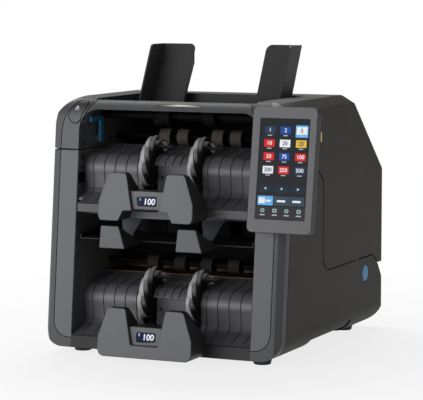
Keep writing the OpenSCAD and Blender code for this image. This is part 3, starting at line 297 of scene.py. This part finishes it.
# Electronics: a mains supply in a folded zinc case on the pan, and the control board on
# standoffs on the right plate, under green solder mask with copper tracks.
zinc = drawn_steel("folded_zinc", srgb(165, 168, 172), 0.4, (50.0, 50.0, 50.0))
dress(zinc, "power_supply")
board_green, mask, shade = finish("solder_mask", IOR=1.5)
place = shade.place()
printed = {"Vector": place, "Scale": 90.0, "Mortar Size": 0.06}
tracks = shade.node("ShaderNodeTexBrick", None, printed, "Fac")
blots = shade.noise(place, 60.0)
shade.feed(mask.inputs["Base Color"], shade.mix(tracks, srgb(20, 78, 46), srgb(46, 120, 74)))
shade.feed(mask.inputs["Roughness"], blots * 0.3 + 0.2)
shade.feed(mask.inputs["Normal"], shade.bump(tracks, 0.3, 0.0001))
dress(board_green, "control_board")


# Pocket guides: each pocket's floor and drum is one moulding in black, slippery POM, with
# grooves that keep damp notes from sticking. Passing notes polish it in faint streaks.
def polished(name, colour, rough, lip):
    """Slippery moulded plastic, rubbed in streaks along the notes' way, but not on its lip."""
    material, shader, shade = finish(name, Specular_IOR_Level=0.6)
    place = shade.place()
    along = shade.node("ShaderNodeMapping", None, {"Vector": place, "Scale": (260.0, 9.0, 9.0)})
    rub = shade.noise(along, 1.0, 4.0)
    pits = shade.noise(place, 1500.0)
    rubbed = shade.mix(rub, colour, toned(colour, 1.2))
    tint = shade.mix(shade.axis(place, "Y") > lip, toned(colour, 0.34), rubbed)
    shade.feed(shader.inputs["Base Color"], tint)
    shade.feed(shader.inputs["Roughness"], rub * 0.12 + pits * 0.08 + (rough - 0.1))
    shade.feed(shader.inputs["Normal"], shade.bump(pits, 0.12, 0.0002))
    return material


LIP_DEEP = 0.0015
for storey in ("lower", "upper"):
    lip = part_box(storey + "_pocket_guide")[0][1] + LIP_DEEP
    guide_black = polished(storey + "_guide_pom", srgb(82, 82, 86), 0.45, lip)
    for guide in ("_pocket_guide", "_center_guide"):
        softened(storey + guide, guide_black, 0.0003)


# Stacker wheels: twelve thin curved blades on a hub, moulded in pale grey elastomer and
# pressed on the shafts. Their flanks and inner blades are painted near black as painted shade.
def bladed(name, shaft_y, shaft_z, pale_from):
    """Elastomer round a shaft at a depth and height, pale near the rim, with painted shade
    inwards.
    """
    material, shader, shade = finish(name)
    place = shade.place()
    sideways = shade.maths("ABSOLUTE", shade.axis(shade.place("Normal"), "X"))
    out = shade.radius(place, shaft_y, shaft_z)
    rim = shade.share(out, pale_from - 0.002, pale_from + 0.002) * (1 - (sideways > 0.6))
    dust = shade.noise(place, 130.0, 5.0)
    blade = shade.mix(dust, srgb(150, 150, 150), srgb(184, 184, 184))
    # Blade faces inwards of the rim, and all flanks, get the near-black painted shade.
    shade.feed(shader.inputs["Base Color"], shade.mix(rim, srgb(28, 28, 29), blade))
    shade.feed(shader.inputs["Roughness"], dust * 0.2 + 0.4)
    shade.feed(shader.inputs["Normal"], shade.bump(dust, 0.1, 0.0002))
    return material


PALE_FROM = 0.030
for wheels in ("lower_stacker_wheels", "upper_stacker_wheels"):
    low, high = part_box(wheels)
    shaft = (low[1] + high[1]) / 2, (low[2] + high[2]) / 2
    dress(bladed(wheels + "_elastomer", *shaft, PALE_FROM), wheels)


# Guide screws: two small socket screws hold each middle drum from the front. Each sits in a
# counterbore painted near black as painted shade, with a bright head at its bottom.
FRONT_X, FRONT_Y = 19.5, 149.75


def at(x, y, z):
    """A point of the case, in millimetres from the middle of its front foot, in the frame."""
    return Vector((x - FRONT_X, y - FRONT_Y, z)) / 1000


def fresh(name, add, **shape):
    """A new object of one of Blender's own kinds, the only one that is selected."""
    bpy.ops.object.select_all(action="DESELECT")
    add(**shape)
    made = bpy.context.active_object
    made.name = name
    return made


def stepped(piece, *rings):
    """Cuts rings into the top of a piece, each with a width and a rise."""
    for face in piece.data.polygons:
        face.select = face.normal.z > 0.9
    bpy.ops.object.mode_set(mode="EDIT")
    for width, rise in rings:
        bpy.ops.mesh.inset(thickness=width, depth=rise)
    bpy.ops.object.mode_set(mode="OBJECT")


def laid(piece, place):
    """Turns and moves the selected piece to its place, in its own mesh."""
    piece.matrix_world = place
    bpy.ops.object.transform_apply(location=True, rotation=True, scale=True)


# Near-black paint for the note path and small dark parts; inside the case and round screw heads
# it also stands for painted shade.
black_and_shade = painted("black_and_shade", srgb(12, 12, 13), 0.6, 0.05)


def screwed(name, place, turn, radius, body):
    """A socket screw in a ring of painted shade, on a face of a body, from upright turned as that
    face is.
    """
    screw = fresh(name, bpy.ops.mesh.primitive_cylinder_add, vertices=28, radius=radius,
                  depth=0.0004)
    stepped(screw, (radius * 0.22, 0.0), (radius * 0.10, -0.0003), (radius * 0.06, 0.0002),
            (radius * 0.26, 0.0), (radius * 0.05, -0.0002))
    # The counterbore ring takes the near-black colour as painted shade; the head takes steel.
    screw.data.materials.append(black_and_shade)
    screw.data.materials.append(steel)
    for face in screw.data.polygons:
        face.material_index = int(face.center.xy.length < radius * 0.66 and face.normal.z > 0.5)
    laid(screw, Matrix.Translation(place) @ turn)
    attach(screw, body)


forwards = Matrix.Rotation(math.radians(90), 4, "X")
for storey, y, z in (("lower", 43.4, 51.5), ("upper", 47.4, 202.0)):
    for side, x in (("left", -16.8), ("right", 16.8)):
        screwed(storey + "_guide_screw_" + side, at(x, y, z), forwards, 0.0021, "base")


# Exit rollers: rubber tyres on blackened steel shafts that carry notes into the pockets. The
# tyres are ground, which leaves fine rings, and browned by use.
def tyred(name, light, dark, shaft_y, shaft_z, shaft_r):
    """Ground rubber round a shaft at a depth and height of the frame, which shows black."""
    material, shader, shade = finish(name, Specular_IOR_Level=0.1)
    place = shade.place()
    rings = shade.node("ShaderNodeTexWave", {"bands_direction": "X"},
                       {"Vector": place, "Scale": 260.0, "Distortion": 0.6})
    stain = shade.noise(place, 70.0, 4.0)
    rubber = shade.mix(stain, dark, light)
    on_tyre = shade.radius(place, shaft_y, shaft_z) > shaft_r
    shade.feed(shader.inputs["Base Color"], shade.mix(on_tyre, srgb(10, 10, 11), rubber))
    shade.feed(shader.inputs["Roughness"], stain * 0.2 + 0.6)
    shade.feed(shader.inputs["Normal"], shade.bump(rings, 0.25, 0.0002))
    return material


SHAFT_RADIUS = 0.0055
# The lower pocket's tyres are painted darker than the upper ones as painted shade; the pickup
# rollers are near black, partly black rubber and partly painted shade under the hopper.
for rollers, light, dark in (("lower_exit_rollers", srgb(54, 49, 45), srgb(38, 34, 32)),
                             ("upper_exit_rollers", srgb(92, 86, 80), srgb(68, 63, 59)),
                             ("pickup_rollers", srgb(12, 12, 12), srgb(8, 8, 8))):
    low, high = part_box(rollers)
    shaft = (low[1] + high[1]) / 2, (low[2] + high[2]) / 2
    dress(tyred(rollers + "_rubber", light, dark, *shaft, SHAFT_RADIUS), rollers)


# Note path: folded sheets in bronze-anodised aluminium behind the lower pocket, and the
# punched steel plate, painted black, that leads notes upwards. Its near-black colour is
# partly that paint and partly painted shade inside the case.
brown_sheet = drawn_steel("bronze_sheet", srgb(92, 74, 60), 0.5, (30.0, 700.0, 700.0))
dress(brown_sheet, "lower_exit_guide")
dress(black_and_shade, "transport_plate")


# Front towers: hollow mouldings in mid grey ABS, clipped to the lip of each pocket. Two ears
# stand either side of a set-back panel for the count display. Edges are well rounded.
tower_grey = moulded("tower_abs", srgb(102, 103, 106), 0.5, flank=srgb(40, 40, 42),
                     Specular_IOR_Level=0.3)
for tower in ("lower_front_tower", "upper_front_tower"):
    softened(tower, tower_grey, 0.0013, 3)


# Count displays: small dark blue liquid crystal panels under a clear window, with white
# figures that stand a hair above the glass.
lens_blue, shader, shade = finish("lcd_blue", Specular_IOR_Level=0.04, Emission_Strength=0.5)
glow = shade.noise(shade.place(), 90.0)
shade.feed(shader.inputs["Base Color"], shade.mix(glow, srgb(9, 15, 34), srgb(14, 22, 46)))
shade.feed(shader.inputs["Emission Color"], shade.mix(glow, srgb(20, 31, 66), srgb(28, 42, 84)))
shade.feed(shader.inputs["Roughness"], glow * 0.1 + 0.2)
dress(lens_blue, "lower_count_display", "upper_count_display")


def lit(name, colour):
    """A lit sign behind glass: its own colour, a little uneven, with the gloss of the window."""
    material, shader, shade = finish(name, Emission_Strength=0.8, Specular_IOR_Level=0.04)
    even = shade.noise(shade.place(), 220.0)
    dim, unlit = toned(colour, 0.86), toned(colour, 0.25)
    shade.feed(shader.inputs["Base Color"], shade.mix(even * 0.4, unlit, dim))
    shade.feed(shader.inputs["Emission Color"], shade.mix(even, dim, colour))
    shade.feed(shader.inputs["Roughness"], even * 0.1 + 0.25)
    return material


CAPITAL_SHARE = 0.7


def figures(name, text, height, centre, panel, material, body, bold=0.0, slant=0.0):
    """Figures cut as thin plates and laid on a panel, whose x runs across and z up."""
    plate = fresh(name, bpy.ops.object.text_add)
    plate.data.body = text
    plate.data.align_x = "CENTER"
    plate.data.align_y = "CENTER"
    plate.data.size = height / CAPITAL_SHARE
    plate.data.extrude = 0.00004
    plate.data.offset = bold
    plate.data.shear = slant
    bpy.ops.object.convert(target="MESH")
    laid(plate, panel @ Matrix.Translation(centre) @ forwards)
    plate.data.materials.append(material)
    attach(plate, body)


DISPLAY_FOOT, DISPLAY_FACE = 0.0191, 0.00014
lean = Matrix.Rotation(math.radians(-5.8), 4, "X")
white_sign = lit("lcd_white", srgb(225, 228, 238))
for storey, foot, mark in (("lower", at(0, -34, 8.5), "2"), ("upper", at(0, -30, 158.5), "1")):
    panel = Matrix.Translation(foot) @ lean @ Matrix.Translation((0, 0, DISPLAY_FOOT))
    figures(storey + "_count", "100", 0.0066, (0.0027, DISPLAY_FACE, 0.0043), panel, white_sign,
            "base", 0.00025, 0.08)
    figures(storey + "_pocket_mark", mark, 0.0028, (-0.0083, DISPLAY_FACE, 0.0068), panel,
            white_sign, "base", 0.0001)


# Reject tray: a folded sheet, painted black, on two tabs in the side plates. In front stand
# two grey stops, and two flaps hang on a rod above it.
plate_paint = painted("plate_paint", srgb(44, 44, 45), 0.5, 0.2)
softened("reject_tray", plate_paint, 0.0003)
softened("reject_stops", tower_grey, 0.0016, 4)
flap_grey = moulded("flap_abs", srgb(66, 68, 76), 0.45)
softened("reject_flaps", flap_grey, 0.0004)


# Front frame: one moulding round the pockets in dark grey ABS, with a paler plate let into
# each pillar. The plates are held by clips, and a thin shadow line runs round them. The rail
# under the lower pocket is painted darker, as painted shade.
rim_grey = moulded("rim_abs", srgb(84, 85, 87), 0.48, Specular_IOR_Level=0.2)
plate_grey = moulded("plate_abs", srgb(101, 102, 105), 0.46, Specular_IOR_Level=0.25)
frame_grey = moulded("frame_abs", srgb(84, 85, 87), 0.48, Specular_IOR_Level=0.2)
shade = Shade(frame_grey.node_tree)
tint = frame_grey.node_tree.nodes["Principled BSDF"].inputs["Base Color"]
place = shade.place()
POCKET_HALF, RAIL_HIGH = 0.111, 0.024
# The rail under the lower pocket, between the pillars, is painted darker as painted shade.
from_middle = shade.maths("ABSOLUTE", shade.axis(place, "X") - at(0, 0, 0).x)
rail_painted_shade = (1 - (from_middle > POCKET_HALF)) * (1 - (shade.axis(place, "Z") > RAIL_HIGH))
plain = Shade(frame_grey.node_tree, tint.links[0].from_socket)
shade.feed(tint, shade.mix(rail_painted_shade, plain, srgb(52, 52, 54)))
softened("front_frame", frame_grey, 0.0010, 3)
softened("pillar_plates", plate_grey, 0.0007, 3)


# Note sensors: a black window let into the inner wall of each pillar watches the upper pocket.
# It is a snapped-in acrylic plate, with its edge a little lower than the wall.
def sized(piece, *sides):
    """Gives the selected piece, of unit size, its three sides."""
    piece.scale = sides
    bpy.ops.object.transform_apply(location=False, rotation=False, scale=True)


for side, x, quarter in (("left", -111.0, 90), ("right", 111.0, -90)):
    window = fresh(side + "_sensor_window", bpy.ops.mesh.primitive_cube_add, size=1)
    sized(window, 0.013, 0.017, 0.0004)
    stepped(window, (0.0012, 0.0), (0.0003, -0.00015))
    inwards = Matrix.Rotation(math.radians(quarter), 4, "Y")
    laid(window, Matrix.Translation(at(x, 31.0, 199.9)) @ inwards)
    window.data.materials.append(black_and_shade)
    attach(window, "base")


# Touch screen: a five-inch panel in a grey moulded housing that leans back on a bracket.
# The display lies under one sheet of dark glass and shows tiles, arrows and a bar of tabs.
screen_grey = moulded("screen_abs", srgb(102, 102, 104), 0.48, flank=srgb(36, 36, 37),
                      Specular_IOR_Level=0.3)
softened("screen_housing", screen_grey, 0.0005, 3, holed=True)
dress(plate_paint, "screen_bracket")
slate, shader, shade = finish("screen_slate", Emission_Strength=0.6, Specular_IOR_Level=0.04)
fade = shade.share(shade.axis(shade.place(), "Z"), 0.16, 0.275)
shade.feed(shader.inputs["Base Color"], shade.mix(fade, srgb(24, 22, 25), srgb(18, 23, 26)))
shade.feed(shader.inputs["Emission Color"], shade.mix(fade, srgb(42, 40, 44), srgb(33, 40, 44)))
shade.feed(shader.inputs["Roughness"], fade * 0.05 + 0.25)
dress(slate, "screen_glass")

GLASS_WIDE, GLASS_HIGH, GLASS_FOOT, GLASS_FACE = 0.058, 0.110, 0.0145, 0.0002
glass_lean = Matrix.Rotation(math.radians(-8.7), 4, "X")
glass_panel = (Matrix.Translation(at(118, -5.06, 152)) @ glass_lean
               @ Matrix.Translation((0, 0, GLASS_FOOT)))


def thickened(piece, thickness, offset):
    """Makes the selected flat piece a plate, behind its face or on both sides of it."""
    depth = piece.modifiers.new("depth", "SOLIDIFY")
    depth.thickness = thickness
    depth.offset = offset
    bpy.ops.object.modifier_apply(modifier="depth")


def tile(name, left, top, right, bottom, material, corner, lift=0.00006):
    """A thin tile on the glass, placed by shares of its width and of its height from the top."""
    wide, high = (right - left) * GLASS_WIDE, (bottom - top) * GLASS_HIGH
    across, up = (left + right) / 2 * GLASS_WIDE, (1 - (top + bottom) / 2) * GLASS_HIGH
    plate = fresh(name, bpy.ops.mesh.primitive_plane_add, size=1)
    sized(plate, wide, high, 1)
    bpy.ops.object.mode_set(mode="EDIT")
    bpy.ops.mesh.select_all(action="SELECT")
    bpy.ops.mesh.bevel(offset=min(corner, 0.49 * high), segments=5, affect="VERTICES")
    bpy.ops.object.mode_set(mode="OBJECT")
    thickened(plate, 0.0001, -1)
    laid(plate, glass_panel @ Matrix.Translation((across, GLASS_FACE - lift, up)) @ forwards)
    plate.data.materials.append(material)
    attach(plate, "base")


def sign(name, text, across, down, height, material):
    """Figures or an arrow on the glass, placed by shares as a tile is."""
    centre = (across * GLASS_WIDE, GLASS_FACE - 0.00012, (1 - down) * GLASS_HIGH)
    figures(name, text, height, centre, glass_panel, material, "base", 0.00008)


paper, sky = lit("sign_white", srgb(226, 230, 234)), lit("tab_sky", srgb(96, 170, 226))
navy, blue = lit("tile_navy", srgb(44, 58, 84)), lit("tile_blue", srgb(34, 70, 150))
red, teal = lit("tile_red", srgb(206, 40, 42)), lit("key_teal", srgb(30, 48, 60))
amber, tab = lit("tile_amber", srgb(214, 176, 70)), lit("tab_slate", srgb(56, 72, 84))
bar, leaf = lit("bar_plum", srgb(52, 50, 56)), lit("icon_mint", srgb(142, 176, 164))
caption = lit("caption_grey", srgb(170, 176, 180))
rows = [(0.080, (navy, blue, paper), ("1", "2", "5")),
        (0.209, (red, paper, amber), ("10", "20", "25")),
        (0.340, (red, blue, red), ("50", "75", "100")),
        (0.473, (paper, red, navy), ("200", "250", "500"))]
TILE_WIDE, TILE_HIGH, KEY_WIDE, TAB_WIDE = 0.212, 0.075, 0.288, 0.306
tile("chosen_tile", 0.722, 0.064, 0.972, 0.184, sky, 0.0010, 0.00003)
for top, colours, numbers in rows:
    for left, colour, number in zip((0.100, 0.414, 0.740), colours, numbers):
        name = "value_" + number
        tile(name + "_tile", left, top, left + TILE_WIDE, top + TILE_HIGH, colour, 0.0006)
        ink = navy if colour in (paper, amber) else paper
        sign(name + "_figures", number, left + TILE_WIDE / 2, top + 0.038, 0.0042, ink)
        tile(name + "_caption", left + 0.06, top + 0.084, left + 0.152, top + 0.094, caption,
             0.0002)
for left, arrow in ((0.036, "<"), (0.362, "+"), (0.690, ">")):
    tile("key_%.0f" % (left * 1000), left, 0.660, left + KEY_WIDE, 0.734, teal, 0.0042)
    sign("arrow_%.0f" % (left * 1000), arrow, left + KEY_WIDE / 2, 0.697, 0.0036, paper)
for left, colour in ((0.037, sky), (0.355, tab), (0.667, tab)):
    name = "tab_%.0f" % (left * 1000)
    tile(name, left, 0.769, left + TAB_WIDE, 0.861, colour, 0.0005)
    start, wide = (left + 0.165, 0.10) if colour == sky else (left + 0.07, 0.166)
    tile(name + "_caption", start, 0.806, start + wide, 0.826, paper, 0.0003, 0.0001)
tile("tab_badge", 0.058, 0.786, 0.185, 0.842, paper, 0.0004, 0.0001)
tile("icon_bar", 0.004, 0.872, 0.996, 0.997, bar, 0.0003, 0.00003)
icons = ((0.145, 0.0020), (0.390, 0.0004), (0.630, 0.0020), (0.875, 0.0012))
for number, (across, corner) in enumerate(icons):
    name = "icon_%d" % number
    tile(name, across - 0.042, 0.893, across + 0.042, 0.931, leaf, corner)
    tile(name + "_core", across - 0.018, 0.904, across + 0.018, 0.920, bar, 0.0006, 0.0001)
    tile(name + "_caption", across - 0.05, 0.950, across + 0.05, 0.962, caption, 0.0002)


# Mains recess in the back: a black panel with a three-blade inlet and a rocker switch that
# snaps into it. The rocker has a printed mark for on and one for off.
panel_black = moulded("panel_black", srgb(34, 34, 36), 0.5)
dress(panel_black, "connector_panel")
socket_black = moulded("socket_black", srgb(22, 22, 23), 0.35)
softened("power_inlet", socket_black, 0.0003)
softened("power_switch", socket_black, 0.0005)
mark_white = moulded("mark_white", srgb(215, 215, 212), 0.5)
backwards = Matrix.Rotation(math.radians(180), 4, "Z")
switch_face = Matrix.Translation(at(-38.0, 303.0, 35.0)) @ backwards
for name, letter, across in (("switch_on", "I", 0.006), ("switch_off", "O", -0.006)):
    figures(name, letter, 0.0036, (across, -0.00003, 0.0), switch_face, mark_white, "rocker")


# Release buttons: blue discs low on each side, pressed to free the upper unit. Each is
# moulded in ABS that is blue all through, and slides in a sleeve of its side cover.
touch_blue = moulded("touch_blue", srgb(60, 150, 202), 0.4, 0.0007, 0.15, 0.08,
                     Specular_IOR_Level=0.2)
for button in ("left_release_button", "right_release_button"):
    softened(button, touch_blue, 0.0008, 3)


# Upper unit: a cover in the same grey ABS and a front beam with the heads of the pillars.
# It is screwed to its own side plates and tips back on the hinge pins.
# The cover's faces that look forwards, into the upper pocket, carry the same painted shade.
softened("upper_cover", case_grey, 0.0006)
softened("front_beam", rim_grey, 0.0005, 3, holed=True)
# The bezel plates are painted darker where they turn upwards over their bend, as painted shade.
bezel_grey = moulded("bezel_abs", srgb(101, 102, 105), 0.5, flank=srgb(50, 50, 52),
                     bend=(-0.975, -0.7), Specular_IOR_Level=0.15)
softened("upper_bezel_plates", bezel_grey, 0.0007, 3)
for side, x, quarter in (("left", -110.95, 90), ("right", 110.95, -90)):
    inwards = Matrix.Rotation(math.radians(quarter), 4, "Y")
    screwed(side + "_beam_screw", at(x, 36.4, 237.7), inwards, 0.0026, "upper_unit")
    screwed(side + "_plate_screw", at(x, 49.5, 257.8), inwards, 0.0020, "upper_unit")


# Light and key on the beam: a pale crescent light guide behind a metallised lens, and an
# oval key let into the left plate with two small printed signs.
gilt, shader, shade = finish("lens_gilt", Metallic=0.25)
sweep = shade.share(shade.axis(shade.place(), "X"), -0.035, 0.02)
# The lens colour runs across its width from dull gold to a painted highlight near white.
highlight_stops = [(0.0, srgb(128, 116, 98)), (0.45, srgb(250, 248, 240)), (1.0, srgb(176, 178, 140))]
painted_highlight = shade.node("ShaderNodeValToRGB", {"stops": highlight_stops}, {"Fac": sweep})
shade.feed(shader.inputs["Base Color"], painted_highlight)
shade.feed(shader.inputs["Roughness"], sweep * 0.1 + 0.15)
dress(gilt, "indicator_lens")
# The key takes the bezel's painted shade where it turns upwards.
softened("open_button", bezel_grey, 0.0006, 3)
print_white = moulded("print_white", srgb(205, 205, 203), 0.5)
key_face = Matrix.Translation(at(-116.0, 31.5, 279.3)) @ Matrix.Rotation(math.radians(55), 4, "X")
bar_form = bpy.ops.mesh.primitive_plane_add, {"size": 1}
arrow_form = bpy.ops.mesh.primitive_circle_add, {"vertices": 3, "radius": 1, "fill_type": "NGON"}
for name, (add, form), wide, high, up in (("key_bar", bar_form, 0.0052, 0.0012, -0.0021),
                                          ("key_arrow", arrow_form, 0.0030, 0.0026, 0.0006)):
    ink = fresh(name, add, **form)
    sized(ink, wide, high, 1)
    thickened(ink, 0.0003, 0)
    laid(ink, key_face @ Matrix.Translation((0, up, 0)))
    ink.data.materials.append(print_white)
    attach(ink, "open_key")


# Hopper: a black tray whose floor falls to the back, with two tall guides on a blackened
# steel rail. The guides' faces have a fine diagonal pattern of dots, so that notes slide on
# them.
tray_black = moulded("tray_black", srgb(40, 40, 41), 0.55)
softened("hopper_tray", tray_black, 0.0006, holed=True)
# The exit guide and scanner head are near black, partly dark parts and partly painted shade
# inside the case.
dress(black_and_shade, "exit_guide", "scanner_head")
rail_black = drawn_steel("blackened_steel", srgb(18, 18, 19), 0.5, (60.0, 900.0, 900.0))
dress(rail_black, "guide_rail")
dotted, shader, shade = finish("guide_dotted")
place = shade.place()
place_x, place_y, place_z = (shade.axis(place, letter) for letter in "XYZ")
round_face = place_x + place_y
ROW_TURNS = 2 * math.pi / 0.0026
leaning = shade.maths("SINE", (round_face + place_z * 0.6) * ROW_TURNS)
crossing = shade.maths("SINE", (round_face * 0.6 - place_z) * ROW_TURNS)
dots = leaning * crossing
spot = shade.share(dots, -0.2, 0.5)
shade.feed(shader.inputs["Base Color"], shade.mix(spot, srgb(38, 38, 39), srgb(74, 73, 74)))
shade.feed(shader.inputs["Roughness"], shade.noise(place, 26.0) * 0.1 + 0.48)
shade.feed(shader.inputs["Normal"], shade.bump(dots, 0.4, 0.0003))
for guide in ("left_hopper_guide", "right_hopper_guide"):
    softened(guide, dotted, 0.0005)


# Small parts of the upper unit: the data socket in the right side, with a brass tongue, and
# the blue lever inside the left pillar that frees a jam.
dress(socket_black, "usb_port")
brass = drawn_steel("contact_brass", srgb(206, 180, 120), 0.3, (80.0, 80.0, 900.0))
tongue = fresh("data_tongue", bpy.ops.mesh.primitive_cube_add, size=1)
sized(tongue, 0.0032, 0.0112, 0.0050)
stepped(tongue, (0.0004, 0.0003), (0.0003, -0.0001))
outwards = Matrix.Rotation(math.radians(90), 4, "Y") @ Matrix.Rotation(math.radians(90), 4, "Z")
laid(tongue, Matrix.Translation(at(142.1, 127.0, 247.0)) @ outwards)
tongue.data.materials.append(brass)
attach(tongue, "upper_unit")
# The lever is painted a darker blue than the release buttons, as painted shade inside the pillar.
shaded_lever_blue = moulded("shaded_lever_blue", srgb(46, 118, 158), 0.4, 0.0007, 0.15, 0.08,
                     Specular_IOR_Level=0.2)
softened("jam_lever", shaded_lever_blue, 0.0004)


# Studio: a white floor that keeps the shadow, a white world behind it, three soft lamps and
# the camera at the height and side of the photograph.
floor = fresh("studio_floor", bpy.ops.mesh.primitive_plane_add, size=12.0, location=(0, 0, 0))
floor_tone = (0.86, 0.86, 0.86, 1.0)
floor_white, shader, shade = finish("floor_white", Base_Color=floor_tone, Roughness=0.9)
seen = shade.node("ShaderNodeLightPath", out="Is Camera Ray")
for ray in ("Is Glossy Ray", "Is Transmission Ray"):
    seen = seen + shade.node("ShaderNodeLightPath", out=ray)
bright = shade.node("ShaderNodeEmission", None, {"Color": (1.0, 1.0, 1.0, 1.0), "Strength": 1.0})
away = shade.share(shade.length(shade.place()), 0.25, 0.7)
plain = away * 0.2 + 0.8
seen = shade.maths("MINIMUM", seen, 1.0) * plain
both = shade.node("ShaderNodeMixShader", None, {0: seen, 2: bright})
tree = floor_white.node_tree
tree.links.new(shader.outputs["BSDF"], both.socket.node.inputs[1])
tree.links.new(both.socket, tree.nodes["Material Output"].inputs["Surface"])
floor.data.materials.append(floor_white)

world = bpy.context.scene.world or bpy.data.worlds.new("studio_world")
bpy.context.scene.world = world
world.use_nodes = True
shade = Shade(world.node_tree)
backdrop = world.node_tree.nodes["Background"].inputs
backdrop["Color"].default_value = (1.0, 1.0, 1.0, 1.0)
seen = shade.node("ShaderNodeLightPath", out="Is Camera Ray")
shade.feed(backdrop["Strength"], seen * 0.85 + 0.15)


def lamp(name, place, aim, wide, high, power):
    """A rectangular soft lamp that faces a point of the case, both in millimetres."""
    soft = fresh(name, bpy.ops.object.light_add, type="AREA")
    soft.data.shape = "RECTANGLE"
    soft.data.size = wide
    soft.data.size_y = high
    soft.data.energy = power
    soft.location = at(*place)
    soft.rotation_mode = "QUATERNION"
    soft.rotation_quaternion = (at(*aim) - soft.location).to_track_quat("-Z", "Y")


lamp("key_lamp", (-700, -1300, 430), (0, 100, 140), 1.2, 0.8, 15)
lamp("fill_lamp", (1500, -1000, 500), (0, 100, 140), 1.2, 1.2, 2.2)
lamp("top_lamp", (-450, 1000, 1400), (0, 150, 200), 1.4, 0.8, 22)

bpy.ops.object.camera_add()
camera = bpy.context.active_object
camera.data.lens = 181.4
camera.data.sensor_width = 36.0
camera.data.sensor_fit = "HORIZONTAL"
camera.data.clip_start = 0.1
camera.data.clip_end = 30.0
azimuth, elevation = math.radians(24.202), math.radians(6.016)
level = math.cos(elevation)
towards = Vector((-math.sin(azimuth) * level, math.cos(azimuth) * level, -math.sin(elevation)))
camera.location = (0.9986, -2.26945, 0.4291)
camera.rotation_mode = "QUATERNION"
camera.rotation_quaternion = towards.to_track_quat("-Z", "Y")
bpy.context.scene.camera = camera
bpy.context.scene.view_settings.view_transform = "Standard"
